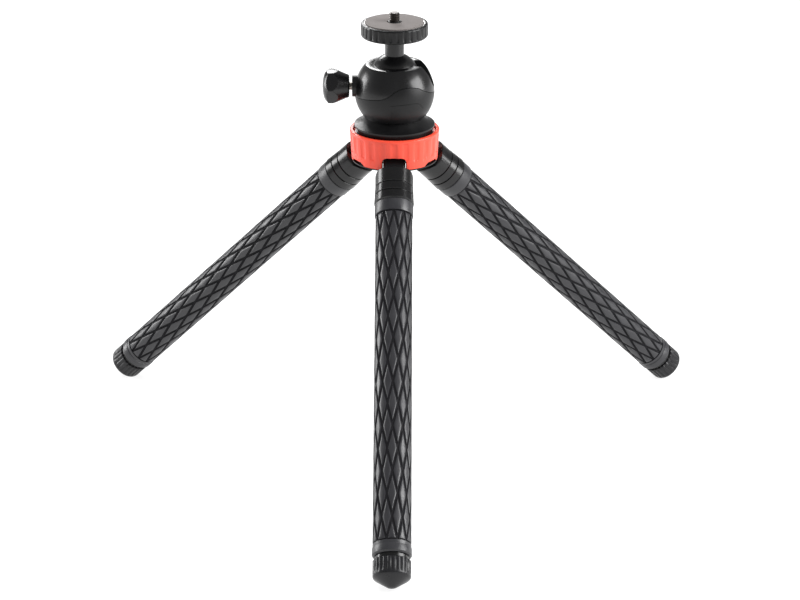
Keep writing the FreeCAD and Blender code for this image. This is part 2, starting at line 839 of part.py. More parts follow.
# Core and sleeve, cut into lengths that end in a round nose at each bend and start in a hollow
def make_bending_run(side, frame, start, end):
    sleeve_r = d.sleeve_dia / 2
    core_r = d.core_dia / 2
    hollow_r = sleeve_r + d.bend_play
    bore = core_r + d.fit_play
    lengths = int(d.bend_count.value) + 1
    pitch = (end - start) / (d.bend_count + 1)
    for number in range(1, lengths + 1):
        above = start + pitch * (number - 1)
        below = start + pitch * number
        if number == 1:
            core_top = d.collar_start + d.tang_spigot
            sleeve = [
                (bore, start),
                (sleeve_r + d.band_step, start),
                (sleeve_r + d.band_step, start + d.band_length),
                (sleeve_r, start + d.band_length),
            ]
            core = [(0, core_top), (core_r, core_top)]
        else:
            sleeve = [
                (bore, above + leg_of(hollow_r, bore), -hollow_r),
                (sleeve_r, above + leg_of(hollow_r, sleeve_r)),
            ]
            core = [
                (0, above + hollow_r, -hollow_r),
                (core_r, above + leg_of(hollow_r, core_r)),
            ]
        if number == lengths:
            band_r = sleeve_r + d.end_band_step
            core_end = end + d.end_ring_thick + d.foot_socket
            sleeve += [
                (sleeve_r, end - d.end_band_length),
                (band_r, end - d.end_band_length),
                (band_r, end - d.end_band_round),
                (band_r - d.end_band_round, end),
                (bore, end),
            ]
            core += [(core_r, core_end), (0, core_end)]
        else:
            sleeve += [
                (sleeve_r, below, sleeve_r),
                (bore, below + leg_of(sleeve_r, bore)),
            ]
            core += [
                (core_r, below + leg_of(sleeve_r, core_r), sleeve_r),
                (0, below + sleeve_r),
            ]
        turned("%s_sleeve_%d" % (side, number), sleeve, pivot_level, frame)
        turned("%s_core_%d" % (side, number), core, pivot_level, frame)


# Rubber foot: fluted barrel with a rounded rim and a low cone
def make_foot(label, frame, start):
    foot_r = d.foot_dia / 2
    bore = d.core_dia / 2 + d.fit_play
    rim = start + d.foot_straight
    tip = rim + d.foot_cone
    floor = start + d.foot_socket + d.fit_play
    body = turned(label, [
        (bore, start),
        (foot_r - d.foot_edge_bevel, start),
        (foot_r, start + d.foot_edge_bevel),
        (foot_r, rim, d.foot_rim_radius),
        (foot_r - d.foot_rim_in, rim + d.foot_rim_round),
        (d.foot_tip_dia / 2, tip - d.foot_tip_height),
        (0, tip),
        (0, floor),
        (bore, floor),
    ], pivot_level, frame)
    flute = new_sketch(body, "XY_Plane", start - d.foot_edge_bevel)
    add_circle(flute, foot_r, 0, d.foot_flute_dia / 2)
    polar(body, extrude(body, "Pocket", flute, d.foot_straight, reverse=True), d.foot_flute_count)


make_camera_screw()
make_platform()
make_ball()
make_housing("housing_upper", True)
make_housing("housing_lower", False)
make_head_base()
make_clamp()
make_flange()
make_ring()
make_hub()
make_hub_fasteners()
for leg_name, leg_azimuth in LEGS.items():
    make_leg(leg_name, leg_azimuth)
doc.recompute()

for thing in doc.Objects:
    if "Invalid" in thing.State or "Error" in thing.State:
        raise RuntimeError("%s did not build: %s" % (thing.Label, thing.State))
for part in parts:
    if part.Shape.isNull() or not part.Shape.isValid() or not part.Shape.Solids:
        raise RuntimeError("%s has no valid solid" % part.Label)

os.makedirs("parts", exist_ok=True)
for part in parts:
    part.Shape.exportStep("parts/%s.step" % part.Label)
    box = part.Shape.BoundBox
    print("%-18s %d solid %10.1f mm3  z %8.2f to %8.2f" % (
        part.Label, len(part.Shape.Solids), part.Shape.Volume, box.ZMin, box.ZMax))
print("%d sub-parts" % len(parts))
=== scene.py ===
import json
import math

import bpy
from mathutils import Matrix, Vector


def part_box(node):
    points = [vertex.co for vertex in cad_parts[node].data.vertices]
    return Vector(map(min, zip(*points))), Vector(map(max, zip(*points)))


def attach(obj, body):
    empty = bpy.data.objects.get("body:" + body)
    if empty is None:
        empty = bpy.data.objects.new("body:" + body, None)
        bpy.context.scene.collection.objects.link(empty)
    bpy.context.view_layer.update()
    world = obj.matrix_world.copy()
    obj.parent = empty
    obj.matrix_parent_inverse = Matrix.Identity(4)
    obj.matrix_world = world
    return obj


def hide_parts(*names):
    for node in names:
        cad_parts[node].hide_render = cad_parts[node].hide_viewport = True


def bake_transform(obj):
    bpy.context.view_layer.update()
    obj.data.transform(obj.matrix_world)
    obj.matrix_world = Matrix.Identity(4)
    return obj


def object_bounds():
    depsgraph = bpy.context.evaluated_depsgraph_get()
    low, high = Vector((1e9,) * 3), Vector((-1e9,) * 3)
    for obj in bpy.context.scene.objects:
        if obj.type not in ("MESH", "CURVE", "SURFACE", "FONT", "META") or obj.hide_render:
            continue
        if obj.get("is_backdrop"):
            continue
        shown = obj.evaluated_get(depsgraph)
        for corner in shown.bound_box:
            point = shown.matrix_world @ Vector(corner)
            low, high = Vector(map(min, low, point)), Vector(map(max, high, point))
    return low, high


bl_info = {
    "name": "Travel Tripod Finish",
    "version": (1, 0, 0),
    "blender": (4, 5, 0),
    "location": "3D View > Sidebar > Tripod",
    "description": "Gives a travel tripod its finished surfaces, piece by piece",
    "category": "Add Mesh",
}

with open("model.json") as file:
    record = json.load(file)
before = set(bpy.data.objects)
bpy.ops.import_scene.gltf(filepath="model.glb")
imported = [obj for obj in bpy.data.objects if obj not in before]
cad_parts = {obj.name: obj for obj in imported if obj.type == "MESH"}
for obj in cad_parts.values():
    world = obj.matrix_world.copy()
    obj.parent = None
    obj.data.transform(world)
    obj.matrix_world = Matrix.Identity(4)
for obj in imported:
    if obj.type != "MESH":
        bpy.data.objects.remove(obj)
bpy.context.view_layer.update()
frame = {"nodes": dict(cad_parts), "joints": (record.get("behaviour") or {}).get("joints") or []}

MM = 0.001
# Points that lie closer together than this count as one
TOUCH = 0.001 * MM
# Play between a bore and the piece that stands in it
CLEAR = 0.03 * MM
# Width of an edge that is broken by a fine bevel
EDGE = 0.3 * MM
# Longest straight step in a wall that has to bend
SLICE = 6 * MM
ORIGIN = (0.0, 0.0, 0.0)
LEGS = ("front", "right", "left")
JOINTS = {joint["name"]: joint for joint in frame["joints"]}


def span(node):
    """Heights of a node's foot and top"""
    return [corner.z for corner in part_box(node)]


def clamp_height():
    return sum(span("clamp_bush")) / 2


def joint_place(name):
    return Vector(JOINTS[name]["pos_m"])


def length(label, millimetres):
    """A size that a user may change, in metres"""
    return bpy.props.FloatProperty(
        name=label, description=label, default=millimetres * MM, min=0.0, precision=5, unit="LENGTH",
        subtype="DISTANCE")


def count(label, number):
    return bpy.props.IntProperty(name=label, description=label, default=number, min=3)


def colour(label, code):
    """A colour that a user may change: an sRGB hex code, kept as the linear values of shaders"""
    shares = [int(code[start:start + 2], 16) / 255 for start in (1, 3, 5)]
    linear = [s / 12.92 if s <= 0.04045 else ((s + 0.055) / 1.055) ** 2.4 for s in shares]
    return bpy.props.FloatVectorProperty(
        name=label, description=label + " as linear colour", default=(*linear, 1.0), size=4,
        min=0.0, max=1.0, subtype="COLOR")


class HeadSizes(bpy.types.PropertyGroup):
    """Sizes of the ball head and its clamp"""
    screw_radius: length("Camera screw radius", 3.175)
    screw_pitch: length("Camera screw pitch", 1.27)
    thread_depth: length("Thread depth", 0.62)
    screw_chamfer: length("Screw tip chamfer", 0.6)
    shank_radius: length("Screw shank radius", 2.9)
    collar_radius: length("Retaining ring radius", 3.9)
    pad_radius: length("Pad radius", 17.75)
    pad_bore: length("Pad hole radius", 4.3)
    pad_seat: length("Pad seat depth", 0.8)
    platform_radius: length("Platform radius", 20.2)
    platform_bevel: length("Platform bevel", 0.9)
    platform_round: length("Platform lower rounding", 1.4)
    # Width of the bright ring painted round the pad: a painted highlight line
    platform_lip: length("Bright line round the pad", 0.6)
    knurl_count: count("Knurls round the platform", 30)
    knurl_depth: length("Knurl depth", 0.5)
    stem_radius: length("Stem radius", 5.8)
    ball_radius: length("Ball radius", 15.0)
    housing_radius: length("Housing radius", 24.2)
    housing_rise: length("Housing height above its middle", 17.3)
    housing_drop: length("Housing depth below its middle", 15.1)
    rim_fall: length("Fall of the housing's top ring", 0.5)
    ball_gap: length("Gap round the ball", 0.3)
    liner_room: length("Room for the liner", 2.0)
    neck_radius: length("Housing bore radius", 7.98)
    slot_radius: length("Drop slot half width", 6.3)
    bush_radius: length("Clamp bush hole radius", 6.48)
    seam_gap: length("Gap at the wavy seam", 0.34)
    scribe_width: length("Scribed line width", 0.3)
    scribe_depth: length("Scribed line depth", 0.25)
    base_radius: length("Head foot radius", 16.6)
    base_thick: length("Head foot thickness", 1.0)
    clamp_screw_radius: length("Clamp screw radius", 2.5)
    clamp_pitch: length("Clamp screw pitch", 0.8)
    knob_neck: length("Knob neck radius", 7.0)
    knob_radius: length("Knob radius", 10.8)
    knob_flat: length("Knob half width", 9.5)
    knob_shoulder: length("Knob shoulder height", 9.4)
    knob_rim: length("Knob rim width", 3.2)
    knob_face: length("Knob face radius", 7.5)
    knob_dome: length("Knob face height", 1.2)


class HubSizes(bpy.types.PropertyGroup):
    """Sizes of the flange and the coloured ring"""
    flange_radius: length("Flange radius", 24.45)
    flange_seat: length("Flange seat radius", 17.2)
    flange_rise: length("Flange rise", 4.5)
    flange_sweep: length("Flange sweep radius", 14.0)
    flange_edge: length("Flange edge height", 1.2)
    flange_spigot: length("Flange spigot radius", 22.5)
    stud_radius: length("Bore for the stud", 3.205)
    ring_foot: length("Ring foot radius", 26.2)
    ring_top: length("Ring top radius", 27.3)
    ring_bore: length("Ring bore radius", 23.53)
    ring_mouth: length("Ring mouth radius", 25.1)
    ring_ledge: length("Ring ledge depth", 2.0)
    ring_round: length("Ring top rounding", 0.8)
    flute_count: count("Flutes round the ring", 24)
    flute_depth: length("Flute depth", 0.45)
    flute_start: length("Flute start height", 5.3)
    flute_length: length("Flute length", 11.6)
    arch_half: length("Arch half width", 7.5)
    arch_height: length("Arch height", 7.8)
    arch_corner: length("Arch corner radius", 3.5)
    notch_height: length("Notch height", 2.2)
    notch_slope: length("Notch side slope", 3.2)


class LegSizes(bpy.types.PropertyGroup):
    """Sizes along a leg, from its hinge to its foot"""
    collar_start: length("Collar start", 11.0)
    collar_end: length("Collar end", 32.1)
    collar_bevel: length("Collar top bevel", 0.4)
    collar_round: length("Collar rounding", 3.2)
    collar_neck: length("Collar neck radius", 11.4)
    collar_radius: length("Collar radius", 12.0)
    core_radius: length("Bendable core radius", 6.0)
    core_start: length("Core start", 22.0)
    core_end: length("Core end", 265.6)
    sleeve_radius: length("Sleeve radius", 11.1)
    sleeve_bore: length("Sleeve bore radius", 6.06)
    sleeve_end: length("Sleeve end", 254.7)
    band_radius: length("Upper band radius", 11.6)
    end_band_radius: length("End band radius", 11.45)
    end_band: length("End band length", 5.0)
    diamonds: count("Diamonds round the sleeve", 11)
    diamond_start: length("Diamonds' start", 39.8)
    diamond_pitch: length("Diamond length", 27.7)
    groove_floor: length("Groove floor half width", 0.5)
    groove_wall: length("Groove wall width", 0.25)
    groove_edge: length("Groove bevel width", 0.35)
    groove_depth: length("Groove depth", 0.85)
    bend_reach: length("Bend half length", 15.0)
    end_ring_radius: length("End ring radius", 9.8)
    end_ring_thick: length("End ring thickness", 2.4)
    foot_radius: length("Foot radius", 11.0)
    foot_straight: length("Foot barrel length", 9.3)
    foot_cone: length("Foot cone height", 6.9)
    foot_flutes: count("Flutes round the foot", 24)
    foot_flute_depth: length("Foot flute depth", 0.55)


class Finishes(bpy.types.PropertyGroup):
    """Colours of the finishes"""
    lacquer: colour("Black lacquer", "#0b0b0c")
    anodised: colour("Black anodising", "#111112")
    knob: colour("Knob plastic", "#0c0c0d")
    coral: colour("Coral lacquer", "#ed4b35")
    steel: colour("Turned steel", "#b9b5ae")
    dark_steel: colour("Black zinc plating", "#524e4b")
    # Bright metal for thin edge bands: a painted highlight line
    edge: colour("Bare machined edge", "#c9c7c6")
    pad: colour("Pad rubber", "#6f6a68")
    sleeve: colour("Sleeve rubber", "#262629")
    # Darker rubber tone for the sleeve's grooves: painted shade
    groove: colour("Sleeve rubber in its grooves", "#1f1f21")
    foot: colour("Foot rubber", "#1a1a1c")
    casting: colour("Black painted casting", "#101012")
    acetal: colour("Natural acetal", "#d8d4c8")
    alloy: colour("Soft alloy", "#b9bab9")
    floor: colour("Studio floor", "#8c8c8c")


# Working in edit mode

def select_all():
    bpy.ops.mesh.select_all(action="SELECT")


def edit_all(kind="VERT"):
    """Edit the active piece, with all its points, edges or faces selected"""
    bpy.ops.object.mode_set(mode="EDIT")
    bpy.ops.mesh.select_mode(type=kind)
    select_all()


def leave_edit():
    bpy.ops.object.mode_set(mode="OBJECT")


def start_fresh():
    """Leave edit mode and select nothing"""
    if bpy.context.object and bpy.context.object.mode != "OBJECT":
        leave_edit()
    bpy.ops.object.select_all(action="DESELECT")


def activate(obj):
    start_fresh()
    obj.select_set(True)
    bpy.context.view_layer.objects.active = obj


def pick(obj, kind, test):
    """Select exactly the points, edges or faces that pass the test, and stay in edit mode"""
    edit_all(kind)
    bpy.ops.mesh.select_all(action="DESELECT")
    leave_edit()
    items = {"VERT": obj.data.vertices, "EDGE": obj.data.edges, "FACE": obj.data.polygons}[kind]
    for item in items:
        item.select = test(item)
    bpy.ops.object.mode_set(mode="EDIT")


def extrude(x, y, z):
    """Extrude what is selected by a step"""
    bpy.ops.mesh.extrude_region_move(TRANSFORM_OT_translate={"value": (x, y, z)})


def trim(level, outwards, fill=False):
    """Cut off all that lies above a level (outwards is 1) or below it (-1)"""
    select_all()
    bpy.ops.mesh.bisect(plane_co=(0, 0, level), plane_no=(0, 0, outwards), use_fill=fill,
                        clear_outer=True, threshold=TOUCH)


def close_up(obj):
    """Merge coinciding points and turn every face outwards"""
    edit_all()
    bpy.ops.mesh.remove_doubles(threshold=TOUCH)
    bpy.ops.mesh.normals_make_consistent(inside=False)
    leave_edit()
    return obj


def apply_modifier(obj, kind, **settings):
    activate(obj)
    modifier = obj.modifiers.new(kind.title(), kind)
    for name, value in settings.items():
        setattr(modifier, name, value)
    bpy.ops.object.modifier_apply(modifier=modifier.name)
    return obj


def chain(name, points):
    """An open run of edges through points, drawn by extruding one point"""
    start_fresh()
    bpy.ops.mesh.primitive_plane_add(size=MM, location=ORIGIN)
    obj = bpy.context.object
    obj.name = name
    edit_all()
    bpy.ops.mesh.merge(type="CENTER")
    bpy.ops.transform.translate(value=points[0])
    for before, after in zip(points, points[1:]):
        extrude(*(Vector(after) - Vector(before)))
    return obj


def turned(name, profile, sides=128):
    """A solid turned about +Z from (radius, height) corners; a profile off the axis is closed"""
    points = [(radius, 0, height) for radius, height in profile]
    if profile[0][0] > 0:
        points.append(points[0])
    obj = chain(name, points)
    select_all()
    bpy.ops.mesh.spin(steps=sides, angle=math.tau, center=ORIGIN, axis=(0, 0, 1))
    return close_up(obj)


def block(name, points, width, height):
    """A solid between a sheet, drawn through (x, z) corners, and the same sheet moved up or down"""
    obj = chain(name, [(x, -width / 2, z) for x, z in points])
    for step in ((0, width, 0), (0, 0, height)):
        select_all()
        extrude(*step)
    return close_up(obj)


def rod(radius, depth, place, sides=64, tilt=math.pi / 2):
    """A plain rod for cutting, along X unless its tilt says otherwise"""
    start_fresh()
    bpy.ops.mesh.primitive_cylinder_add(vertices=sides, radius=radius, depth=depth, location=place,
                                        rotation=(0, tilt, 0))
    return bpy.context.object


def near(radius, height, *steps):
    """Corners of a profile at steps in millimetres, outwards and up, from one place"""
    return [(radius + out * MM, height + up * MM) for out, up in steps]


def raised(profile, height):
    return [(radius, level + height) for radius, level in profile]


def arc(middle, radius, start, end, steps):
    """Corners along an arc of a profile, with its angles in degrees from the radius direction"""
    turns = [math.radians(start + (end - start) * step / steps) for step in range(steps + 1)]
    return [(middle[0] + radius * math.cos(turn), middle[1] + radius * math.sin(turn)) for turn in turns]


def bow(start, end, radius, steps):
    """Corners after the start of a shallow arc, with its centre to the left when positive"""
    chord = Vector(end) - Vector(start)
    across = Vector((-chord.y, chord.x)).normalized() * math.copysign(1, radius)
    centre = (Vector(start) + Vector(end)) / 2
    centre += across * math.sqrt(radius ** 2 - (chord.length / 2) ** 2)
    first = Vector(start) - centre
    sweep = first.angle_signed(Vector(end) - centre)
    return [tuple(centre + Matrix.Rotation(-sweep * step / steps, 2) @ first)
            for step in range(1, steps + 1)]


def cut(obj, tool, operation="DIFFERENCE"):
    """Cut a piece with a tool solid, or keep what they share, and remove the tool"""
    apply_modifier(obj, "BOOLEAN", operation=operation, object=tool, solver="EXACT")
    bpy.data.objects.remove(tool)
    return close_up(obj)


def soften(obj, width, angle=40, segments=2):
    """Round the edges that turn by more than the angle"""
    apply_modifier(obj, "BEVEL", width=width, segments=segments, limit_method="ANGLE",
                   angle_limit=math.radians(angle), use_clamp_overlap=False)
    return close_up(obj)


def copy_of(obj, name):
    activate(obj)
    bpy.ops.object.duplicate(linked=False)
    made = bpy.context.object
    made.name = name
    return made


def press_flutes(obj, number, sides, depth, shape, rows, wall):
    """Press flutes into a turned wall: shape gives the share of the depth for each column of a
    pitch, rows maps a height to its share, and only points beyond the wall's radius move"""
    columns = sides // number
    half = math.pi / sides
    for height, row_share in rows.items():
        for column in range(columns):
            share = shape[column] * row_share
            if share == 0:
                continue

            def in_flute(point, column=column, height=height):
                place = point.co
                turn = math.atan2(place.y, place.x) % math.tau
                at_row = abs(place.z - height) < 0.05 * MM and math.hypot(place.x, place.y) > wall
                return at_row and int((turn + half) / (2 * half)) % columns == column

            pick(obj, "VERT", in_flute)
            scale = 1 - depth * share / wall
            bpy.ops.transform.resize(value=(scale, scale, 1), center_override=ORIGIN)
    leave_edit()
    return obj


def threaded(name, radius, depth, pitch, low, high, chamfer):
    """A screw's threaded length: one tooth swept up a helix, cut square at both ends"""
    sides = 48
    root = radius - depth
    rise = pitch * 0.38
    crest = pitch * 0.5
    fall = pitch * 0.88
    tooth = ((root, 0), (radius, rise), (radius, crest), (root, fall), (root, pitch))
    obj = chain(name, [(out, 0, up) for out, up in tooth])
    leave_edit()
    turns = math.ceil((high - low) / pitch) + 2
    apply_modifier(obj, "SCREW", screw_offset=pitch, iterations=turns, steps=sides, render_steps=sides,
                   use_merge_vertices=True, merge_threshold=TOUCH)
    edit_all()
    bpy.ops.mesh.remove_doubles(threshold=TOUCH)
    bpy.ops.transform.translate(value=(0, 0, low - 1.5 * pitch))
    trim(low, -1, fill=True)
    trim(high, 1, fill=True)
    close_up(obj)
    if chamfer:
        reach = 2 * radius
        cone = turned("chamfer_tool", [
            (0, low - reach), (reach, low - reach), (reach, high - chamfer - reach + radius),
            (radius - chamfer, high), (0, high + TOUCH)], sides)
        cut(obj, cone, "INTERSECT")
    return obj


def paint(obj, tone, test=None):
    """Give a piece its finish, or only the faces that pass the test"""
    activate(obj)
    obj.data.materials.append(finish(tone))
    if test:
        pick(obj, "FACE", test)
        obj.active_material_index = len(obj.data.materials) - 1
        bpy.ops.object.material_slot_assign()
        leave_edit()
    return obj


def finish_piece(obj, body, nodes, place=None, smooth=35):
    """Put a piece in its place, smooth it, tie it to its body and hide the nodes that it stands for"""
    activate(obj)
    if place is not None:
        obj.matrix_world = place
    bpy.ops.object.transform_apply(location=True, rotation=True, scale=True)
    bpy.ops.object.shade_smooth_by_angle(angle=math.radians(smooth))
    if body:
        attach(obj, body)
    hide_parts(*nodes)


# Materials

def add_node(tree, kind, inputs=None):
    """Add a node, and set or link its inputs"""
    node = tree.nodes.new(kind)
    for name, value in (inputs or {}).items():
        if isinstance(value, bpy.types.NodeSocket):
            tree.links.new(value, node.inputs[name])
        else:
            node.inputs[name].default_value = value
    return node


def new_finish(name, tone, roughness, spread, lighter, grain, depth, patch=9.0, **sockets):
    """A finish whose tone and roughness drift in patches, with a fine grain; sizes in millimetres"""
    material = bpy.data.materials.new(name)
    material.use_nodes = True
    tree = material.node_tree
    tree.nodes.clear()
    place = add_node(tree, "ShaderNodeTexCoord").outputs["Object"]

    def noise(size, detail, rough):
        inputs = {"Vector": place, "Scale": 1 / (size * MM), "Detail": detail, "Roughness": rough}
        return add_node(tree, "ShaderNodeTexNoise", inputs).outputs["Fac"]

    drift = noise(patch, 4.0, 0.55)
    tones = add_node(tree, "ShaderNodeValToRGB", {"Fac": drift})
    paler = (*[min(1.0, share * lighter) for share in tone[:3]], 1.0)
    for stop, position, shade in zip(tones.color_ramp.elements, (0.3, 0.75), (tone, paler)):
        stop.position = position
        stop.color = shade
    rough = add_node(tree, "ShaderNodeMapRange", {
        "Value": drift, "From Min": 0.3, "From Max": 0.7,
        "To Min": max(0.02, roughness - spread), "To Max": min(1.0, roughness + spread)})
    bump = add_node(tree, "ShaderNodeBump", {
        "Height": noise(grain, 3.0, 0.6), "Strength": 1.0, "Distance": depth * MM})
    shader = add_node(tree, "ShaderNodeBsdfPrincipled", {
        "Base Color": tones.outputs["Color"], "Roughness": rough.outputs["Result"],
        "Normal": bump.outputs["Normal"], **sockets})
    add_node(tree, "ShaderNodeOutputMaterial", {"Surface": shader.outputs["BSDF"]})
    return material


def skin(ior, specular=0.5, **others):
    """Shader values of a surface that isn't bare metal"""
    return {"IOR": ior, "Specular IOR Level": specular, **others}


METAL = {"Metallic": 1.0}
# Each finish by its short name: the material, its colour, its roughness and how far that drifts, how
# much lighter its tone drifts, the grain and the depth of its relief, and the shader's other values
FINISHES = {
    # Sprayed gloss lacquer over a casting: deep black, with a faint orange peel in its reflections
    "lacquer": ("Sprayed_Black_Lacquer", "lacquer", 0.31, 0.05, 1.35, 1.6, 0.01, skin(
        1.5, 0.35, **{"Coat Weight": 0.25, "Coat Roughness": 0.16})),
    # The lower half of the housing has the same black with a silkier sheen
    "satin": ("Satin_Black_Lacquer", "lacquer", 0.42, 0.05, 1.35, 1.2, 0.01, skin(1.5, 0.3)),
    # Turned aluminium, blasted and anodised black: satin, with broad soft highlights
    "anodised": ("Satin_Black_Anodising", "anodised", 0.36, 0.06, 1.35, 0.3, 0.004, skin(1.5, 0.3)),
    # Polished aluminium, anodised black: deep and mirror-like, for the turned collars
    "collar": ("Gloss_Black_Anodising", "lacquer", 0.22, 0.05, 1.35, 0.3, 0.003, skin(1.5, 0.45)),
    # Polished moulded ABS: sharp reflections with a slight waviness from the mould
    "knob": ("Gloss_Moulded_Plastic", "knob", 0.26, 0.04, 1.35, 2.5, 0.012, skin(1.54, 0.4)),
    # Coral red satin lacquer: soft highlights and a slightly paler bloom where it is thin
    "coral": ("Coral_Satin_Lacquer", "coral", 0.38, 0.05, 1.08, 0.6, 0.006, skin(
        1.5, 0.4, **{"Coat Weight": 0.12, "Coat Roughness": 0.25})),
    # Bright turned steel with fine tool marks
    "steel": ("Turned_Steel", "steel", 0.24, 0.06, 1.1, 0.25, 0.004, METAL),
    # Steel screw, plated with black zinc: a dark metallic gleam on the threads
    "dark_steel": ("Black_Zinc_Plating", "dark_steel", 0.32, 0.06, 1.15, 0.25, 0.004, METAL),
    # Bright bare metal for thin edge bands, painted on as a painted highlight line
    "edge": ("Bright_Machined_Edge", "edge", 0.35, 0.04, 1.1, 0.2, 0.003, METAL),
    # Thin grey-brown rubber sheet with a fine matte grain, drawn a little coarse so that it shows
    "pad": ("Grey_Pad_Rubber", "pad", 0.78, 0.08, 1.12, 0.5, 0.03, skin(1.52)),
    # Moulded charcoal rubber: matte, slightly greasy sheen on the tops of the diamonds
    "sleeve": ("Moulded_Charcoal_Rubber", "sleeve", 0.38, 0.08, 1.25, 0.45, 0.02, skin(1.52)),
    # The same rubber in the grooves, painted darker as painted shade, and rougher and duller there
    "groove": ("Dull_Groove_Rubber", "groove", 0.8, 0.08, 1.3, 0.45, 0.02, skin(1.5, 0.15)),
    # Harder rubber of the feet, smoother than the sleeve
    "foot": ("Hard_Foot_Rubber", "foot", 0.3, 0.08, 1.3, 0.5, 0.01, skin(1.52, 0.3)),
    # Die-cast zinc under a thin black paint
    "casting": ("Black_Painted_Casting", "casting", 0.5, 0.08, 1.35, 0.6, 0.02, skin(1.5, 0.3)),
    # Unfilled acetal: milky, waxy and smooth
    "acetal": ("Natural_Acetal", "acetal", 0.4, 0.06, 1.05, 0.8, 0.006, skin(1.48)),
    # Annealed aluminium rod, dull from drawing
    "alloy": ("Annealed_Alloy", "alloy", 0.4, 0.06, 1.1, 0.3, 0.008, METAL),
    # Backlit white acrylic table: it glows evenly, so shadows stay faint
    "floor": ("Backlit_White_Acrylic", "floor", 0.9, 0.04, 1.01, 2.0, 0.01, {
        "patch": 300.0, "Emission Color": (1, 1, 1, 1), "Emission Strength": 0.85}),
}
made_finishes = {}


def finish(name):
    """The finish by its short name, made once from the scene's colours"""
    if name not in made_finishes:
        material, tone, *measures, others = FINISHES[name]
        shade = tuple(getattr(bpy.context.scene.tripod_finishes, tone))
        made_finishes[name] = new_finish(material, shade, *measures, **others)
    return made_finishes[name]


# Legs

def leg_place(side):
    """Frame of a leg: +Z runs from its hinge to its foot and +Y along the hinge pin"""
    pivot = joint_place(side + "_fold")
    along = (joint_place(side + "_bend_1") - pivot).normalized()
    across = -Vector(JOINTS[side + "_fold"]["axis"]).normalized()
    inward = across.cross(along)
    return Matrix.Translation(pivot) @ Matrix((inward, across, along)).transposed().to_4x4()


def leg_body(side, number):
    """Body of a leg's rigid length, counted from 0 at the hub"""
    return side + "_leg" if number == 0 else "%s_leg_length_%d" % (side, number + 1)


def bend_distances():
    """How far along a leg its bends lie"""
    pivot = joint_place("front_fold")
    return [(joint_place("front_bend_%d" % number) - pivot).length for number in (1, 2, 3)]


def flexible_lengths(start, end):
    """Where the three flexible lengths start and end: they meet halfway between two bends"""
    first, second, third = bend_distances()
    cuts = [start, (first + second) / 2, (second + third) / 2, end]
    return list(zip(cuts, cuts[1:]))


def flexible_nodes(kind, number):
    """Nodes that a flexible length stands for, counted from 0: two for the first, then one each"""
    numbers = (1, 2) if number == 0 else (number + 2,)
    return ["_%s_%d" % (kind, node) for node in numbers]


def levels(low, high):
    """Heights from low to high, close enough together for a wall to bend smoothly"""
    steps = math.ceil((high - low) / SLICE)
    return [low + (high - low) * step / steps for step in range(steps + 1)]


def stand_on_leg(side, form, name, nodes, slot, number, smooth=35, bends=False, turn=Matrix()):
    """Put a copy of a form on a leg; it rides on the rigid length of that number, or, where it
    should bend between that length and the next, is tied to no body and keeps its place in its points"""
    place = leg_place(side)
    body = leg_body(side, number)
    piece = copy_of(form, side + name)
    nodes = [side + node for node in nodes]
    finish_piece(piece, None if bends else body, nodes, place @ turn, smooth)
    if bends:
        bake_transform(piece)


def stand_on_legs(*parts):
    """Put copies of parts on every leg and remove their forms; a part is what stand_on_leg takes"""
    for side in LEGS:
        for part in parts:
            stand_on_leg(side, *part)
    for form, *_ in parts:
        bpy.data.objects.remove(form)


class TRIPOD_OT_camera_screw(bpy.types.Operator):
    """Camera screw with its thread, and the ring round its foot"""
    bl_idname = "tripod.camera_screw"
    bl_label = "Camera Screw"

    def execute(self, context):
        sizes = context.scene.tripod_head
        radius = sizes.shank_radius
        wide = sizes.collar_radius
        foot, high = span("camera_screw")
        ring_foot, low = span("screw_ring")
        screw = threaded("camera_screw_thread", sizes.screw_radius, sizes.thread_depth,
                         sizes.screw_pitch, low, high, sizes.screw_chamfer)
        shank = turned("camera_screw_shank", [(0, foot), (radius, foot), (radius, low), (0, low)], 64)
        for piece, smooth in ((screw, 28), (shank, 35)):
            paint(piece, "dark_steel")
            finish_piece(piece, "ball", ["camera_screw"], smooth=smooth)
        bore = radius + CLEAR
        ring = turned("camera_screw_ring", [
            (bore, ring_foot), (wide, ring_foot), (wide, low), (bore, low)], 64)
        soften(ring, 0.2 * MM)
        finish_piece(paint(ring, "anodised"), "ball", ["screw_ring"])
        return {"FINISHED"}


def add_pad(sizes, rounding):
    """The rubber pad, with both its upper edges rounded"""
    foot, top = span("platform_pad")
    pad = turned("platform_pad_sheet", [
        (sizes.pad_bore, foot), (sizes.pad_radius, foot),
        *arc((sizes.pad_radius - rounding, top - rounding), rounding, 0, 90, 4),
        *arc((sizes.pad_bore + rounding, top - rounding), rounding, 90, 180, 4)])
    finish_piece(paint(pad, "pad"), "platform", ["platform_pad"])


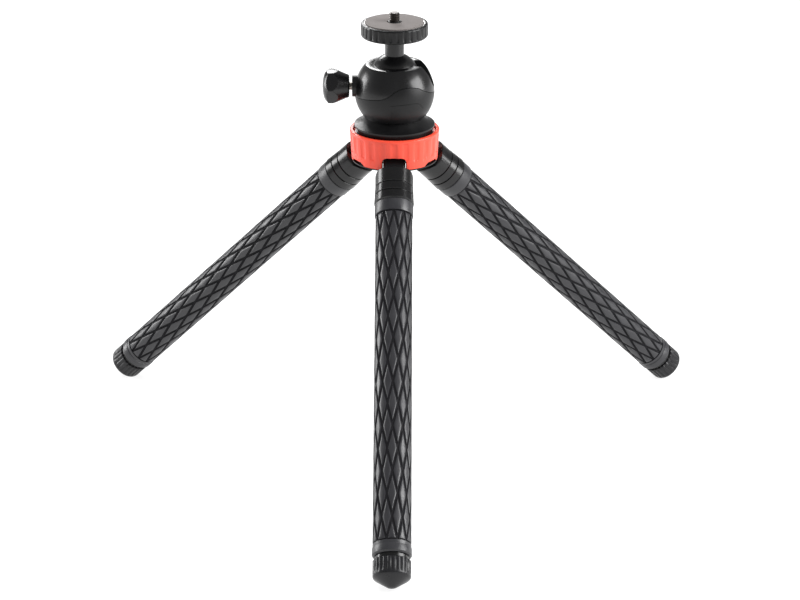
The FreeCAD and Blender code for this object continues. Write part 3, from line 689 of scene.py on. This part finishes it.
class TRIPOD_OT_platform(bpy.types.Operator):
    """Knurled platform with a bright line painted round the pad as a painted highlight, and the pad on it
    """
    bl_idname = "tripod.platform"
    bl_label = "Platform"

    def execute(self, context):
        sizes = context.scene.tripod_head
        low, high = span("platform")
        outer = sizes.platform_radius
        bevel = sizes.platform_bevel
        lower = sizes.platform_round
        recess = sizes.pad_radius + CLEAR
        lip = recess + sizes.platform_lip
        seat = high - sizes.pad_seat
        bore = sizes.shank_radius + 0.05 * MM
        wall_low = low + lower
        wall_high = high - bevel
        sides = sizes.knurl_count * 8
        profile = [(bore, low)] + arc((outer - lower, wall_low), lower, -90, 0, 6)
        profile += [(outer, wall_low + EDGE), (outer, wall_high - EDGE), (outer, wall_high)]
        profile += [(outer - bevel * 0.35, high - bevel * 0.25), (outer - bevel, high), (lip, high),
                    (recess, high - 0.05 * MM), (recess, seat), (bore, seat)]
        plate = turned("platform_disc", profile, sides)
        rows = {wall_low: 0.45, wall_low + EDGE: 1.0, wall_high - EDGE: 1.0, wall_high: 0.45}
        press_flutes(plate, sizes.knurl_count, sides, sizes.knurl_depth, (1, 0.7, 0, 0, 0, 0, 0, 0.7),
                     rows, outer - 0.2 * MM)
        soften(plate, 0.08 * MM, 50, 1)
        paint(plate, "anodised")
        # A narrow bright metal ring round the pad's recess: a painted highlight line
        paint(plate, "edge", lambda face: (
            face.center.z > high - 0.04 * MM and recess < face.center.xy.length < lip))
        finish_piece(plate, "platform", ["platform"])
        add_pad(sizes, 0.25 * MM)
        return {"FINISHED"}


class TRIPOD_OT_ball(bpy.types.Operator):
    """Ball and stem, one turned piece"""
    bl_idname = "tripod.ball"
    bl_label = "Ball and Stem"

    def execute(self, context):
        sizes = context.scene.tripod_head
        middle = joint_place("ball_lean").z
        top = span("ball_stem")[1]
        stem = sizes.stem_radius
        neck = math.degrees(math.acos(stem / sizes.ball_radius))
        bore = sizes.shank_radius + CLEAR
        floor = span("camera_screw")[0] - CLEAR
        fillet = 0.5 * MM
        profile = arc((0, middle), sizes.ball_radius, -90, neck, 40)
        profile[0] = (0, middle - sizes.ball_radius)
        profile += [(stem, top - fillet), *arc((stem - fillet, top - fillet), fillet, 0, 90, 4)[1:],
                    (bore, top), (bore, floor), (0, floor)]
        ball = turned("ball_and_stem", profile, 96)
        finish_piece(paint(ball, "lacquer"), "ball", ["ball_stem"], smooth=40)
        return {"FINISHED"}


def hollow_housing(sizes, middle, ball):
    """The whole hollow housing before it is parted"""
    outer = sizes.housing_radius
    rise = sizes.housing_rise
    cavity = sizes.ball_radius + sizes.ball_gap
    room = cavity + sizes.liner_room - sizes.ball_gap
    neck = sizes.neck_radius
    up = ball - middle
    step = -1.0 * MM

    def turn(height, radius):
        return math.degrees(math.asin(height / radius))

    profile = [(neck, -sizes.housing_drop)]
    foot, rim = turn(-sizes.housing_drop, outer), turn(rise - sizes.rim_fall, outer)
    profile += arc((0, 0), outer, foot, rim, 56)
    mouth = math.sqrt(cavity ** 2 - (rise - up) ** 2)
    profile += [(mouth + 0.5 * MM, rise), (mouth, rise - EDGE)]
    profile += arc((0, up), cavity, turn(rise - 0.8 * MM - up, cavity), turn(step, cavity), 8)
    profile += arc((0, up), room, turn(step, room), turn(-math.sqrt(room ** 2 - neck ** 2), room), 10)
    return turned("housing_shell", raised(profile, middle), 192)


def seam_points(middle):
    """Points of the seam seen from the front: a straight run, two arcs and a straight run"""
    points = [(-30.0, -2.9), (-8.0, 1.0)]
    points += bow((-8.0, 1.0), (-0.5, 5.3), 20.0, 8)
    points += bow((-0.5, 5.3), (15.0, 6.6), -16.0, 16)
    points += [(30.0, -3.6)]
    return near(0, middle, *points)


def scribe_lines(shell, sizes, middle):
    """Scribe the outline of a cover plate that shows as two fine lines on the lower half's front"""
    line = sizes.scribe_width
    reach = 2 * sizes.housing_radius
    floor = sizes.housing_radius - sizes.scribe_depth
    curve = near(0, middle, (-2.1, -2.8), (1.5, -2.3), (5.4, -2.1), (10.0, -1.9), (13.7, -2.0),
                 (15.6, -3.3), (17.7, -6.7))
    upright = near(0, middle, (-1.7, -12.5), (-1.7 + line / MM, -12.5))
    for points, height in ((curve, line), (upright, 6.1 * MM)):
        ribbon = block("scribe_tool", points, reach, height)
        ribbon.location.y = -reach / 2
        start_fresh()
        bpy.ops.mesh.primitive_uv_sphere_add(segments=192, ring_count=96, radius=floor,
                                             location=(0, 0, middle))
        cut(ribbon, bpy.context.object)
        cut(shell, ribbon)


class TRIPOD_OT_housing(bpy.types.Operator):
    """Round housing, parted along its wavy seam, with the drop slot and the clamp hole"""
    bl_idname = "tripod.housing"
    bl_label = "Ball Housing"

    def execute(self, context):
        sizes = context.scene.tripod_head
        ball = joint_place("ball_lean").z
        middle = span("housing_lower")[0] + sizes.housing_drop
        reach = 2 * sizes.housing_radius
        shell = hollow_housing(sizes, middle, ball)
        slot = rod(sizes.slot_radius, reach, (reach / 2, 0, ball))
        bpy.ops.object.transform_apply(location=True, rotation=True, scale=True)
        pick(slot, "VERT", lambda point: point.co.z > ball - TOUCH)
        bpy.ops.transform.translate(value=(0, 0, reach))
        leave_edit()
        cut(shell, slot)
        cut(shell, rod(sizes.bush_radius, reach, (-reach / 2, 0, clamp_height())))
        upper = copy_of(shell, "housing_upper_shell")
        half_gap = sizes.seam_gap / 2
        seam = seam_points(middle)
        cut(upper, block("seam_tool", raised(seam, half_gap), reach, reach), "INTERSECT")
        cut(shell, block("seam_tool", raised(seam, -half_gap), reach, reach))
        scribe_lines(shell, sizes, middle)
        shell.name = "housing_lower_shell"
        for piece, tone, node in ((upper, "lacquer", "housing_upper"), (shell, "satin", "housing_lower")):
            finish_piece(paint(piece, tone), "head", [node], smooth=38)
        return {"FINISHED"}


class TRIPOD_OT_head_base(bpy.types.Operator):
    """Turned foot of the head"""
    bl_idname = "tripod.head_base"
    bl_label = "Head Foot"

    def execute(self, context):
        sizes = context.scene.tripod_head
        low, high = span("head_base")
        wide = sizes.base_radius
        bore = context.scene.tripod_hub.stud_radius + 0.02 * MM
        socket = high - 1.1 * MM
        plate = low + sizes.base_thick
        spigot = sizes.neck_radius - CLEAR
        base = turned("head_foot", [
            (bore, low), (wide, low), (wide, plate - EDGE), (wide - EDGE, plate), (spigot, plate),
            (spigot, high), (0, high), (0, socket), (bore, socket), (bore, low)])
        paint(base, "anodised")
        # The chamfer round the foot's plate gets bright metal: a painted highlight line
        paint(base, "edge", lambda face: (
            plate - EDGE < face.center.z < plate and face.center.xy.length > wide - EDGE))
        finish_piece(base, "head", ["head_base"], smooth=25)
        return {"FINISHED"}


class TRIPOD_OT_clamp(bpy.types.Operator):
    """Hexagonal clamp knob and its screw; the knob's own +Z points outwards along -X"""
    bl_idname = "tripod.clamp"
    bl_label = "Clamp Knob"

    def execute(self, context):
        sizes = context.scene.tripod_head
        place = Matrix.Translation((0, 0, clamp_height())) @ Matrix.Rotation(-math.pi / 2, 4, "Y")
        end, base = (-corner.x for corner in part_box("clamp_knob"))
        screw_end, screw_start = (-corner.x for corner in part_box("clamp_screw"))
        bore = sizes.clamp_screw_radius + CLEAR
        wide = sizes.knob_radius
        shoulder = base + sizes.knob_shoulder
        profile = [(bore, base)] + near(sizes.knob_neck, base, (-0.6, 0), (0, 0.6), (0.5, 2.2))
        profile += near(wide, shoulder, (-0.5, -0.8), (0, 0.4)) + [(wide, shoulder + sizes.knob_rim)]
        profile += near(sizes.knob_face, end - sizes.knob_dome, (0.6, -0.3), (-0.6, 0.25))
        profile += [(sizes.knob_face * 0.5, end - 0.2 * MM), (0, end), (0, screw_end + CLEAR),
                    (bore, screw_end + CLEAR)]
        knob = turned("clamp_knob_body", profile, 96)
        corner = sizes.knob_flat / math.cos(math.pi / 6)
        hexagon = rod(corner, end - base + 4 * MM, (0, 0, (base + end) / 2), sides=6, tilt=0)
        cut(knob, hexagon, "INTERSECT")
        soften(knob, 0.35 * MM, 22, 3)
        finish_piece(paint(knob, "knob"), "knob", ["clamp_knob"], place, smooth=30)
        screw = threaded("clamp_screw_thread", sizes.clamp_screw_radius, 0.4 * MM, sizes.clamp_pitch,
                         screw_start, screw_end, 0)
        finish_piece(paint(screw, "steel"), "knob", ["clamp_screw"], place, smooth=28)
        return {"FINISHED"}


class TRIPOD_OT_flange(bpy.types.Operator):
    """Flange with its concave sweep"""
    bl_idname = "tripod.flange"
    bl_label = "Hub Flange"

    def execute(self, context):
        sizes = context.scene.tripod_hub
        low, top = span("hub_flange")
        edge = sizes.flange_radius
        rim = (edge, top - sizes.flange_rise)
        seat = (sizes.flange_seat, top)
        under = rim[1] - sizes.flange_edge
        lip = 0.18 * MM
        profile = [(sizes.stud_radius, low), (sizes.flange_spigot, low)]
        profile += [(sizes.flange_spigot, under - 0.6 * MM), (edge - lip, under), (edge, under + lip)]
        profile += [(edge, rim[1] - lip), rim, *bow(rim, seat, -sizes.flange_sweep, 14)]
        profile += [(sizes.stud_radius, top)]
        flange = turned("hub_flange_disc", profile, 160)
        finish_piece(paint(flange, "anodised"), "hub", ["hub_flange"], smooth=25)
        return {"FINISHED"}


def cut_openings(ring, sizes, side, low):
    """Cut the rounded arch over one leg, and the low notch opposite it"""
    half = sizes.arch_half
    deep = sizes.ring_top * 1.2
    start_fresh()
    bpy.ops.mesh.primitive_cube_add(size=1, location=ORIGIN)
    tool = bpy.context.object
    tool.dimensions = (2 * half, deep, 2 * sizes.arch_height)
    bpy.ops.object.transform_apply(location=False, rotation=False, scale=True)
    points = tool.data.vertices
    pick(tool, "EDGE", lambda edge: all(points[index].co.z > 0 for index in edge.vertices)
         and points[edge.vertices[0]].co.x * points[edge.vertices[1]].co.x > 0)
    bpy.ops.mesh.bevel(offset=sizes.arch_corner, segments=10, affect="EDGES")
    leave_edit()
    pivot = joint_place(side + "_fold")
    turn = math.atan2(pivot.y, pivot.x) + math.pi / 2
    facing = Matrix.Translation((0, 0, low)) @ Matrix.Rotation(turn, 4, "Z")
    tool.matrix_world = facing @ Matrix.Translation((0, -deep / 2, 0))
    cut(ring, tool)
    top = half - sizes.notch_slope
    height = sizes.notch_height
    notch = block("notch_tool", [(-half, 0), (-top, height), (top, height), (half, 0)], deep,
                  -2 * height)
    notch.matrix_world = facing @ Matrix.Translation((0, deep / 2, 0))
    cut(ring, notch)


class TRIPOD_OT_ring(bpy.types.Operator):
    """Coral ring with its flutes and an arch over each leg"""
    bl_idname = "tripod.ring"
    bl_label = "Coloured Ring"

    def execute(self, context):
        sizes = context.scene.tripod_hub
        low, high = span("hub_ring")
        tall = high - low
        rounding = sizes.ring_round
        mouth = sizes.ring_mouth
        ledge = tall - sizes.ring_ledge
        slope = (sizes.ring_top - sizes.ring_foot) / (tall - rounding)
        start = sizes.flute_start
        end = start + sizes.flute_length
        fade = 0.45 * MM
        depths = {start: 0.1, start + fade: 1.0, (start + end) / 2: 1.0, end - fade: 1.0, end: 0.1}
        profile = [(sizes.ring_bore, 0), (sizes.ring_foot - EDGE, 0)]
        profile += [(sizes.ring_foot + slope * height, height) for height in (EDGE, *depths)]
        profile += arc((sizes.ring_top - rounding, tall - rounding), rounding, 0, 90, 6)
        profile += [(mouth + EDGE, tall), (mouth, tall - EDGE), (mouth, ledge), (sizes.ring_bore, ledge)]
        sides = sizes.flute_count * 12
        ring = turned("coral_ring", raised(profile, low), sides)
        rows = {low + height: share for height, share in depths.items()}
        shape = (1.0, 0.97, 0.85, 0.3, 0, 0, 0, 0, 0, 0.3, 0.85, 0.97)
        press_flutes(ring, sizes.flute_count, sides, sizes.flute_depth, shape, rows, sizes.ring_foot - MM)
        for side in LEGS:
            cut_openings(ring, sizes, side, low)
        finish_piece(paint(ring, "coral"), "hub", ["hub_ring"], smooth=32)
        return {"FINISHED"}


def collar_shoulders(sizes):
    """The room in which the collar's top is rounded off towards the ends of the hinge pin"""
    bend = sizes.collar_round
    above = sizes.collar_start - 0.02 * MM + bend
    right = [(sizes.collar_radius + MM, above)]
    right += arc((sizes.collar_neck - bend, above), bend, 0, -90, 10)
    left = [(-x, z) for x, z in reversed(right)]
    room = block("collar_shoulders", right + left, 4 * sizes.collar_radius, sizes.collar_end)
    room.matrix_world = Matrix.Rotation(math.pi / 2, 4, "Z")
    return room


def collar_groove(radius, place):
    """A turned groove, 0.8 mm wide and 0.6 mm deep, with a fine bevel on both lips"""
    return near(radius, place, (0, -0.15), (-0.15, 0), (-0.6, 0.15), (-0.6, 0.65), (-0.15, 0.8),
                (0, 0.95))


class TRIPOD_OT_collars(bpy.types.Operator):
    """Grooved collar at the top of each leg"""
    bl_idname = "tripod.collars"
    bl_label = "Leg Collars"

    def execute(self, context):
        sizes = context.scene.tripod_leg
        start = sizes.collar_start
        end = sizes.collar_end
        neck = sizes.collar_neck
        wide = sizes.collar_radius
        bore = sizes.core_radius + CLEAR
        bevel = sizes.collar_bevel
        first = start + 9.2 * MM
        second = first + 5.6 * MM
        profile = [(bore, start), (neck - bevel, start), (neck, start + bevel)]
        profile += collar_groove(neck, first) + collar_groove((neck + wide) / 2, second)
        profile += near(wide, end, (0, -0.8), (-0.6, 0)) + [(bore, end)]
        collar = turned("collar_form", profile, 96)
        cut(collar, collar_shoulders(sizes), "INTERSECT")
        paint(collar, "collar")
        stand_on_legs((collar, "_leg_collar", ["_collar"], "collar_metal", 0, 30))
        return {"FINISHED"}


def sleeve_lattice(sizes):
    """Tube of diamond faces between the two smooth bands, still without relief"""
    pitch = sizes.diamond_pitch
    start = sizes.diamond_start
    floor = sizes.sleeve_radius - sizes.groove_depth
    rows = math.ceil((sizes.sleeve_end - sizes.end_band - start) / pitch)
    start_fresh()
    bpy.ops.mesh.primitive_circle_add(vertices=sizes.diamonds, radius=floor, location=ORIGIN)
    tube = bpy.context.object
    tube.name = "sleeve_form"
    edit_all()
    bpy.ops.transform.translate(value=(0, 0, start))
    for _ in range(rows):
        extrude(0, 0, pitch)
    select_all()
    bpy.ops.mesh.poke()
    leave_edit()
    points = tube.data.vertices
    top = start + rows * pitch

    def square_edge(edge):
        heights = [points[index].co.z for index in edge.vertices]
        at_corners = all(abs((z - start) / pitch - round((z - start) / pitch)) < 0.01 for z in heights)
        at_end = max(heights) < start + TOUCH or min(heights) > top - TOUCH
        return at_corners and not at_end

    pick(tube, "EDGE", square_edge)
    bpy.ops.mesh.dissolve_edges(use_verts=False)
    trim(diamonds_end(sizes), 1)
    leave_edit()
    return tube


def diamonds_end(sizes):
    """The diamonds end at the nearest half pitch before the end band"""
    reach = sizes.sleeve_end - sizes.end_band - sizes.diamond_start
    halves = math.floor(2 * reach / sizes.diamond_pitch + 0.1)
    return sizes.diamond_start + halves * sizes.diamond_pitch / 2


def raise_diamonds(tube, sizes):
    """Raise the middle of every diamond above its grooves"""
    floor = sizes.sleeve_radius - sizes.groove_depth
    cylinder = {"cast_type": "CYLINDER", "factor": 1.0, "use_z": False, "use_radius_as_size": False}
    apply_modifier(tube, "CAST", size=floor, **cylinder)
    tube.vertex_groups.new(name="raised")
    edit_all("FACE")
    for width, share in ((sizes.groove_floor, 0.0), (sizes.groove_wall, 0.8), (sizes.groove_edge, 1.0)):
        bpy.ops.mesh.inset(thickness=width, use_individual=True, use_boundary=True)
        bpy.context.tool_settings.vertex_group_weight = share
        bpy.ops.object.vertex_group_assign()
    select_all()
    bpy.ops.mesh.subdivide(number_cuts=4)
    leave_edit()
    apply_modifier(tube, "CAST", size=floor, **cylinder)
    apply_modifier(tube, "CAST", size=sizes.sleeve_radius, vertex_group="raised", **cylinder)
    tube.vertex_groups.clear()
    return tube


def add_walls(tube, sizes):
    """Add the smooth bands, the ends and the bore to the lattice"""
    radius = sizes.sleeve_radius
    floor = radius - sizes.groove_depth
    start = sizes.collar_end
    end = sizes.sleeve_end
    bore = sizes.sleeve_bore
    band = sizes.band_radius
    end_band = sizes.end_band_radius
    band_start = end - sizes.end_band
    first = sizes.diamond_start
    last = diamonds_end(sizes)
    lower = [(radius, last), (radius, band_start - 0.1 * MM)]
    lower += near(end_band, band_start, (-0.1, 0), (0, 0.3))
    lower += near(end_band, end, (0, -0.9), (-0.35, -0.3), (-0.8, 0)) + [(bore, end)]
    upper = [(radius, first)] + near(band, first, (-0.1, -0.1), (0, -0.4))
    upper += near(band, start, (0, 0.4), (-0.4, 0))
    upper += [(bore, level) for level in levels(start, end)[:-1]]
    for profile, level in ((lower, last), (upper, first)):
        pick(tube, "VERT", lambda point: abs(point.co.z - level) < TOUCH and abs(
            point.co.xy.length - floor) < 0.01 * MM)
        radius, height = floor, level
        for next_radius, next_height in profile:
            extrude(0, 0, next_height - height)
            scale = next_radius / radius
            bpy.ops.transform.resize(value=(scale, scale, 1), center_override=(0, 0, next_height))
            radius, height = next_radius, next_height
    pick(tube, "VERT", lambda point: point.co.xy.length < bore + 0.01 * MM and (
        abs(point.co.z - height) < TOUCH or abs(point.co.z - end) < TOUCH))
    bpy.ops.mesh.bridge_edge_loops()
    leave_edit()
    return close_up(tube)


def length_between(form, low, high):
    """Part of a leg's tube between two distances, closed flat at each cut; None leaves an end"""
    part = copy_of(form, "sleeve_part")
    bpy.ops.object.mode_set(mode="EDIT")
    for level, outwards in ((low, -1), (high, 1)):
        if level is not None:
            trim(level, outwards)
            bpy.ops.mesh.bridge_edge_loops()
    return close_up(part)


class TRIPOD_OT_sleeves(bpy.types.Operator):
    """Rubber sleeve with raised diamonds, in three lengths that each bend at one place"""
    bl_idname = "tripod.sleeves"
    bl_label = "Leg Sleeves"

    def execute(self, context):
        sizes = context.scene.tripod_leg
        tube = add_walls(raise_diamonds(sleeve_lattice(sizes), sizes), sizes)
        paint(tube, "sleeve")
        lattice_end = diamonds_end(sizes)
        # Groove faces between the diamonds are painted darker: painted shade in the grooves
        paint(tube, "groove", lambda face: (
            sizes.diamond_start < face.center.z < lattice_end
            and sizes.sleeve_bore + MM < face.center.xy.length < sizes.sleeve_radius - 0.45 * MM))
        # The mould's seam sets how the diamonds stand: a crossing lies 8.2 degrees from the front
        phase = Matrix.Rotation(math.radians(188.2), 4, "Z")
        parts = [(length_between(tube, low, high), "_rubber_sleeve_%d" % (number + 1),
                  flexible_nodes("sleeve", number), "sleeve_rubber", number, 30, True, phase)
                 for number, (low, high) in enumerate(flexible_lengths(None, None))]
        bpy.data.objects.remove(tube)
        stand_on_legs(*parts)
        return {"FINISHED"}


class TRIPOD_OT_cores(bpy.types.Operator):
    """Bendable alloy core inside each sleeve, in three lengths like the sleeve's"""
    bl_idname = "tripod.cores"
    bl_label = "Leg Cores"

    def execute(self, context):
        sizes = context.scene.tripod_leg
        for number, (low, high) in enumerate(flexible_lengths(sizes.core_start, sizes.core_end)):
            wall = [(sizes.core_radius, level) for level in levels(low, high)]
            core = turned("core_form", [(0, low), *wall, (0, high)], 32)
            paint(core, "alloy")
            stand_on_legs((core, "_bendable_core_%d" % (number + 1), flexible_nodes("core", number),
                           "core_alloy", number, 35, True))
        return {"FINISHED"}


def foot_form(sizes, start, bore):
    """Barrel with upright flutes, a rounded lower rim and a low cone"""
    radius = sizes.foot_radius
    rim = start + sizes.foot_straight
    tip = rim + sizes.foot_cone
    flute_end = start + 8.2 * MM
    socket = start + 8.53 * MM
    sides = sizes.foot_flutes * 8
    rows = {start: 0.8, start + 0.4 * MM: 1.0, start + 4.0 * MM: 1.0, flute_end - 0.9 * MM: 1.0,
            flute_end: 0.3}
    profile = [(bore, start), (radius - 0.4 * MM, start)]
    profile += [(radius, height) for height in list(rows)[1:]]
    profile += near(radius, rim, (0, 0), (-0.15, 0.6), (-0.5, 1.15), (-1.0, 1.6))
    profile += near(0, tip, (6.3, -2.9), (2.5, -0.5), (1.2, -0.12), (0, 0))
    foot = turned("foot_form", profile + [(0, socket), (bore, socket)], sides)
    shape = (1.0, 0.75, 0.15, 0, 0, 0, 0.15, 0.75)
    press_flutes(foot, sizes.foot_flutes, sides, sizes.foot_flute_depth, shape, rows,
                 radius - 0.5 * MM)
    return paint(foot, "foot")


class TRIPOD_OT_feet(bpy.types.Operator):
    """End ring and fluted rubber foot of each leg"""
    bl_idname = "tripod.feet"
    bl_label = "Leg Feet"

    def execute(self, context):
        sizes = context.scene.tripod_leg
        bore = sizes.core_radius + CLEAR
        ring_start = sizes.sleeve_end
        start = ring_start + sizes.end_ring_thick
        radius = sizes.end_ring_radius
        ring = turned("end_ring_form", [
            (bore, ring_start), *near(radius, ring_start, (-0.25, 0), (0, 0.25)),
            *near(radius, start, (0, -0.25), (-0.25, 0)), (bore, start)], 64)
        paint(ring, "collar")
        foot = foot_form(sizes, start, bore)
        stand_on_legs((ring, "_leg_end_ring", ["_end_ring"], "ring_dark", 3, 30),
                      (foot, "_rubber_foot", ["_foot"], "foot_rubber", 3))
        return {"FINISHED"}


class TRIPOD_OT_inner_nodes(bpy.types.Operator):
    """Finishes of the plain construction pieces that show as they are"""
    bl_idname = "tripod.inner_nodes"
    bl_label = "Construction Pieces"

    def execute(self, context):
        tones = {"ball_liner": "acetal", "brake_shoe": "acetal", "clamp_bush": "anodised",
                 "hub_body": "anodised", "head_stud": "steel", "hub_screws": "steel", "hub_cap": "anodised"}
        for side in LEGS:
            tones[side + "_hinge_pin"] = "steel"
            tones[side + "_knuckle"] = "casting"
        for name, tone in tones.items():
            for slot in frame["nodes"][name].material_slots:
                slot.material = finish(tone)
        return {"FINISHED"}


# What the soft lights face: a place on the tripod's axis, 80 mm below the top of its pad
LIT_PLACE = Vector((0, 0, -80 * MM))


def add_to_scene(name, data, place):
    """Add a light or the camera at its place"""
    made = bpy.data.objects.new(name, data)
    made.location = place
    bpy.context.scene.collection.objects.link(made)
    return made


def add_light(name, kind, place, **settings):
    light = bpy.data.lights.new(name, kind)
    for setting, value in settings.items():
        setattr(light, setting, value)
    return add_to_scene(name, light, place)


def add_softbox(name, place, size, power):
    """A soft area light that faces the tripod's middle"""
    box = add_light(name, "AREA", place, shape="RECTANGLE", size=size[0], size_y=size[1], energy=power)
    box.rotation_euler = (LIT_PLACE - Vector(place)).to_track_quat("-Z", "Y").to_euler()


class TRIPOD_OT_stage(bpy.types.Operator):
    """White studio floor, soft lights and the camera of the photograph"""
    bl_idname = "tripod.stage"
    bl_label = "Studio Stage"

    def execute(self, context):
        scene = context.scene
        scene.view_settings.view_transform = "Standard"
        start_fresh()
        under_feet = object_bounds()[0].z - 0.01 * MM
        bpy.ops.mesh.primitive_plane_add(size=14, location=(0, 0, under_feet))
        floor = context.object
        floor.name = "studio_floor"
        paint(floor, "floor")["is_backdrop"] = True
        world = scene.world or bpy.data.worlds.new("Studio")
        scene.world = world
        world.use_nodes = True
        background = world.node_tree.nodes["Background"]
        background.inputs["Color"].default_value = (1, 1, 1, 1)
        background.inputs["Strength"].default_value = 0.3
        # A wide even fill light from straight above that doesn't show in reflections
        dome = add_light("overhead_dome", "SUN", ORIGIN, energy=2.8, angle=math.radians(60))
        dome.visible_glossy = False
        add_softbox("softbox_left", (-1.15, 0.4, 0.1), (0.5, 0.6), 9)
        add_softbox("softbox_right", (1.13, -0.28, 0.31), (0.75, 0.75), 18)
        add_softbox("softbox_back", (-0.35, 1.3, 0.55), (0.7, 0.35), 9)
        # The camera that was fitted to the photograph: it looks down on the head from 1.7 m away
        looks_down = math.radians(21.58)
        looks_left = 0.0065
        camera = add_to_scene("photo_camera", bpy.data.cameras.new("photo_camera"),
                              (13.99 * MM, -1642.7 * MM, 470.17 * MM))
        camera.rotation_euler = (math.pi / 2 - looks_down, 0, looks_left)
        camera.data.sensor_width = 36
        camera.data.lens = 127.67
        scene.camera = camera
        return {"FINISHED"}


STEPS = (TRIPOD_OT_camera_screw, TRIPOD_OT_platform, TRIPOD_OT_ball, TRIPOD_OT_housing,
         TRIPOD_OT_head_base, TRIPOD_OT_clamp, TRIPOD_OT_flange, TRIPOD_OT_ring, TRIPOD_OT_collars,
         TRIPOD_OT_sleeves, TRIPOD_OT_cores, TRIPOD_OT_feet, TRIPOD_OT_inner_nodes, TRIPOD_OT_stage)
GROUPS = {"tripod_head": HeadSizes, "tripod_hub": HubSizes, "tripod_leg": LegSizes,
          "tripod_finishes": Finishes}


class TRIPOD_PT_panel(bpy.types.Panel):
    """Sizes, colours and steps of the tripod"""
    bl_idname = "TRIPOD_PT_panel"
    bl_label = "Travel Tripod"
    bl_space_type = "VIEW_3D"
    bl_region_type = "UI"
    bl_category = "Tripod"

    def draw(self, context):
        for step in STEPS:
            self.layout.operator(step.bl_idname)
        for name, group in GROUPS.items():
            box = self.layout.box()
            box.label(text=name.replace("_", " ").title())
            for size in group.__annotations__:
                box.prop(getattr(context.scene, name), size)


CLASSES = (*GROUPS.values(), *STEPS, TRIPOD_PT_panel)


def register():
    for made in CLASSES:
        bpy.utils.register_class(made)
    for name, group in GROUPS.items():
        setattr(bpy.types.Scene, name, bpy.props.PointerProperty(type=group))


def unregister():
    for name in GROUPS:
        delattr(bpy.types.Scene, name)
    for made in reversed(CLASSES):
        bpy.utils.unregister_class(made)


def main():
    register()
    for step in STEPS:
        family, name = step.bl_idname.split(".")
        getattr(getattr(bpy.ops, family), name)()


if __name__ == "__main__":
    main()
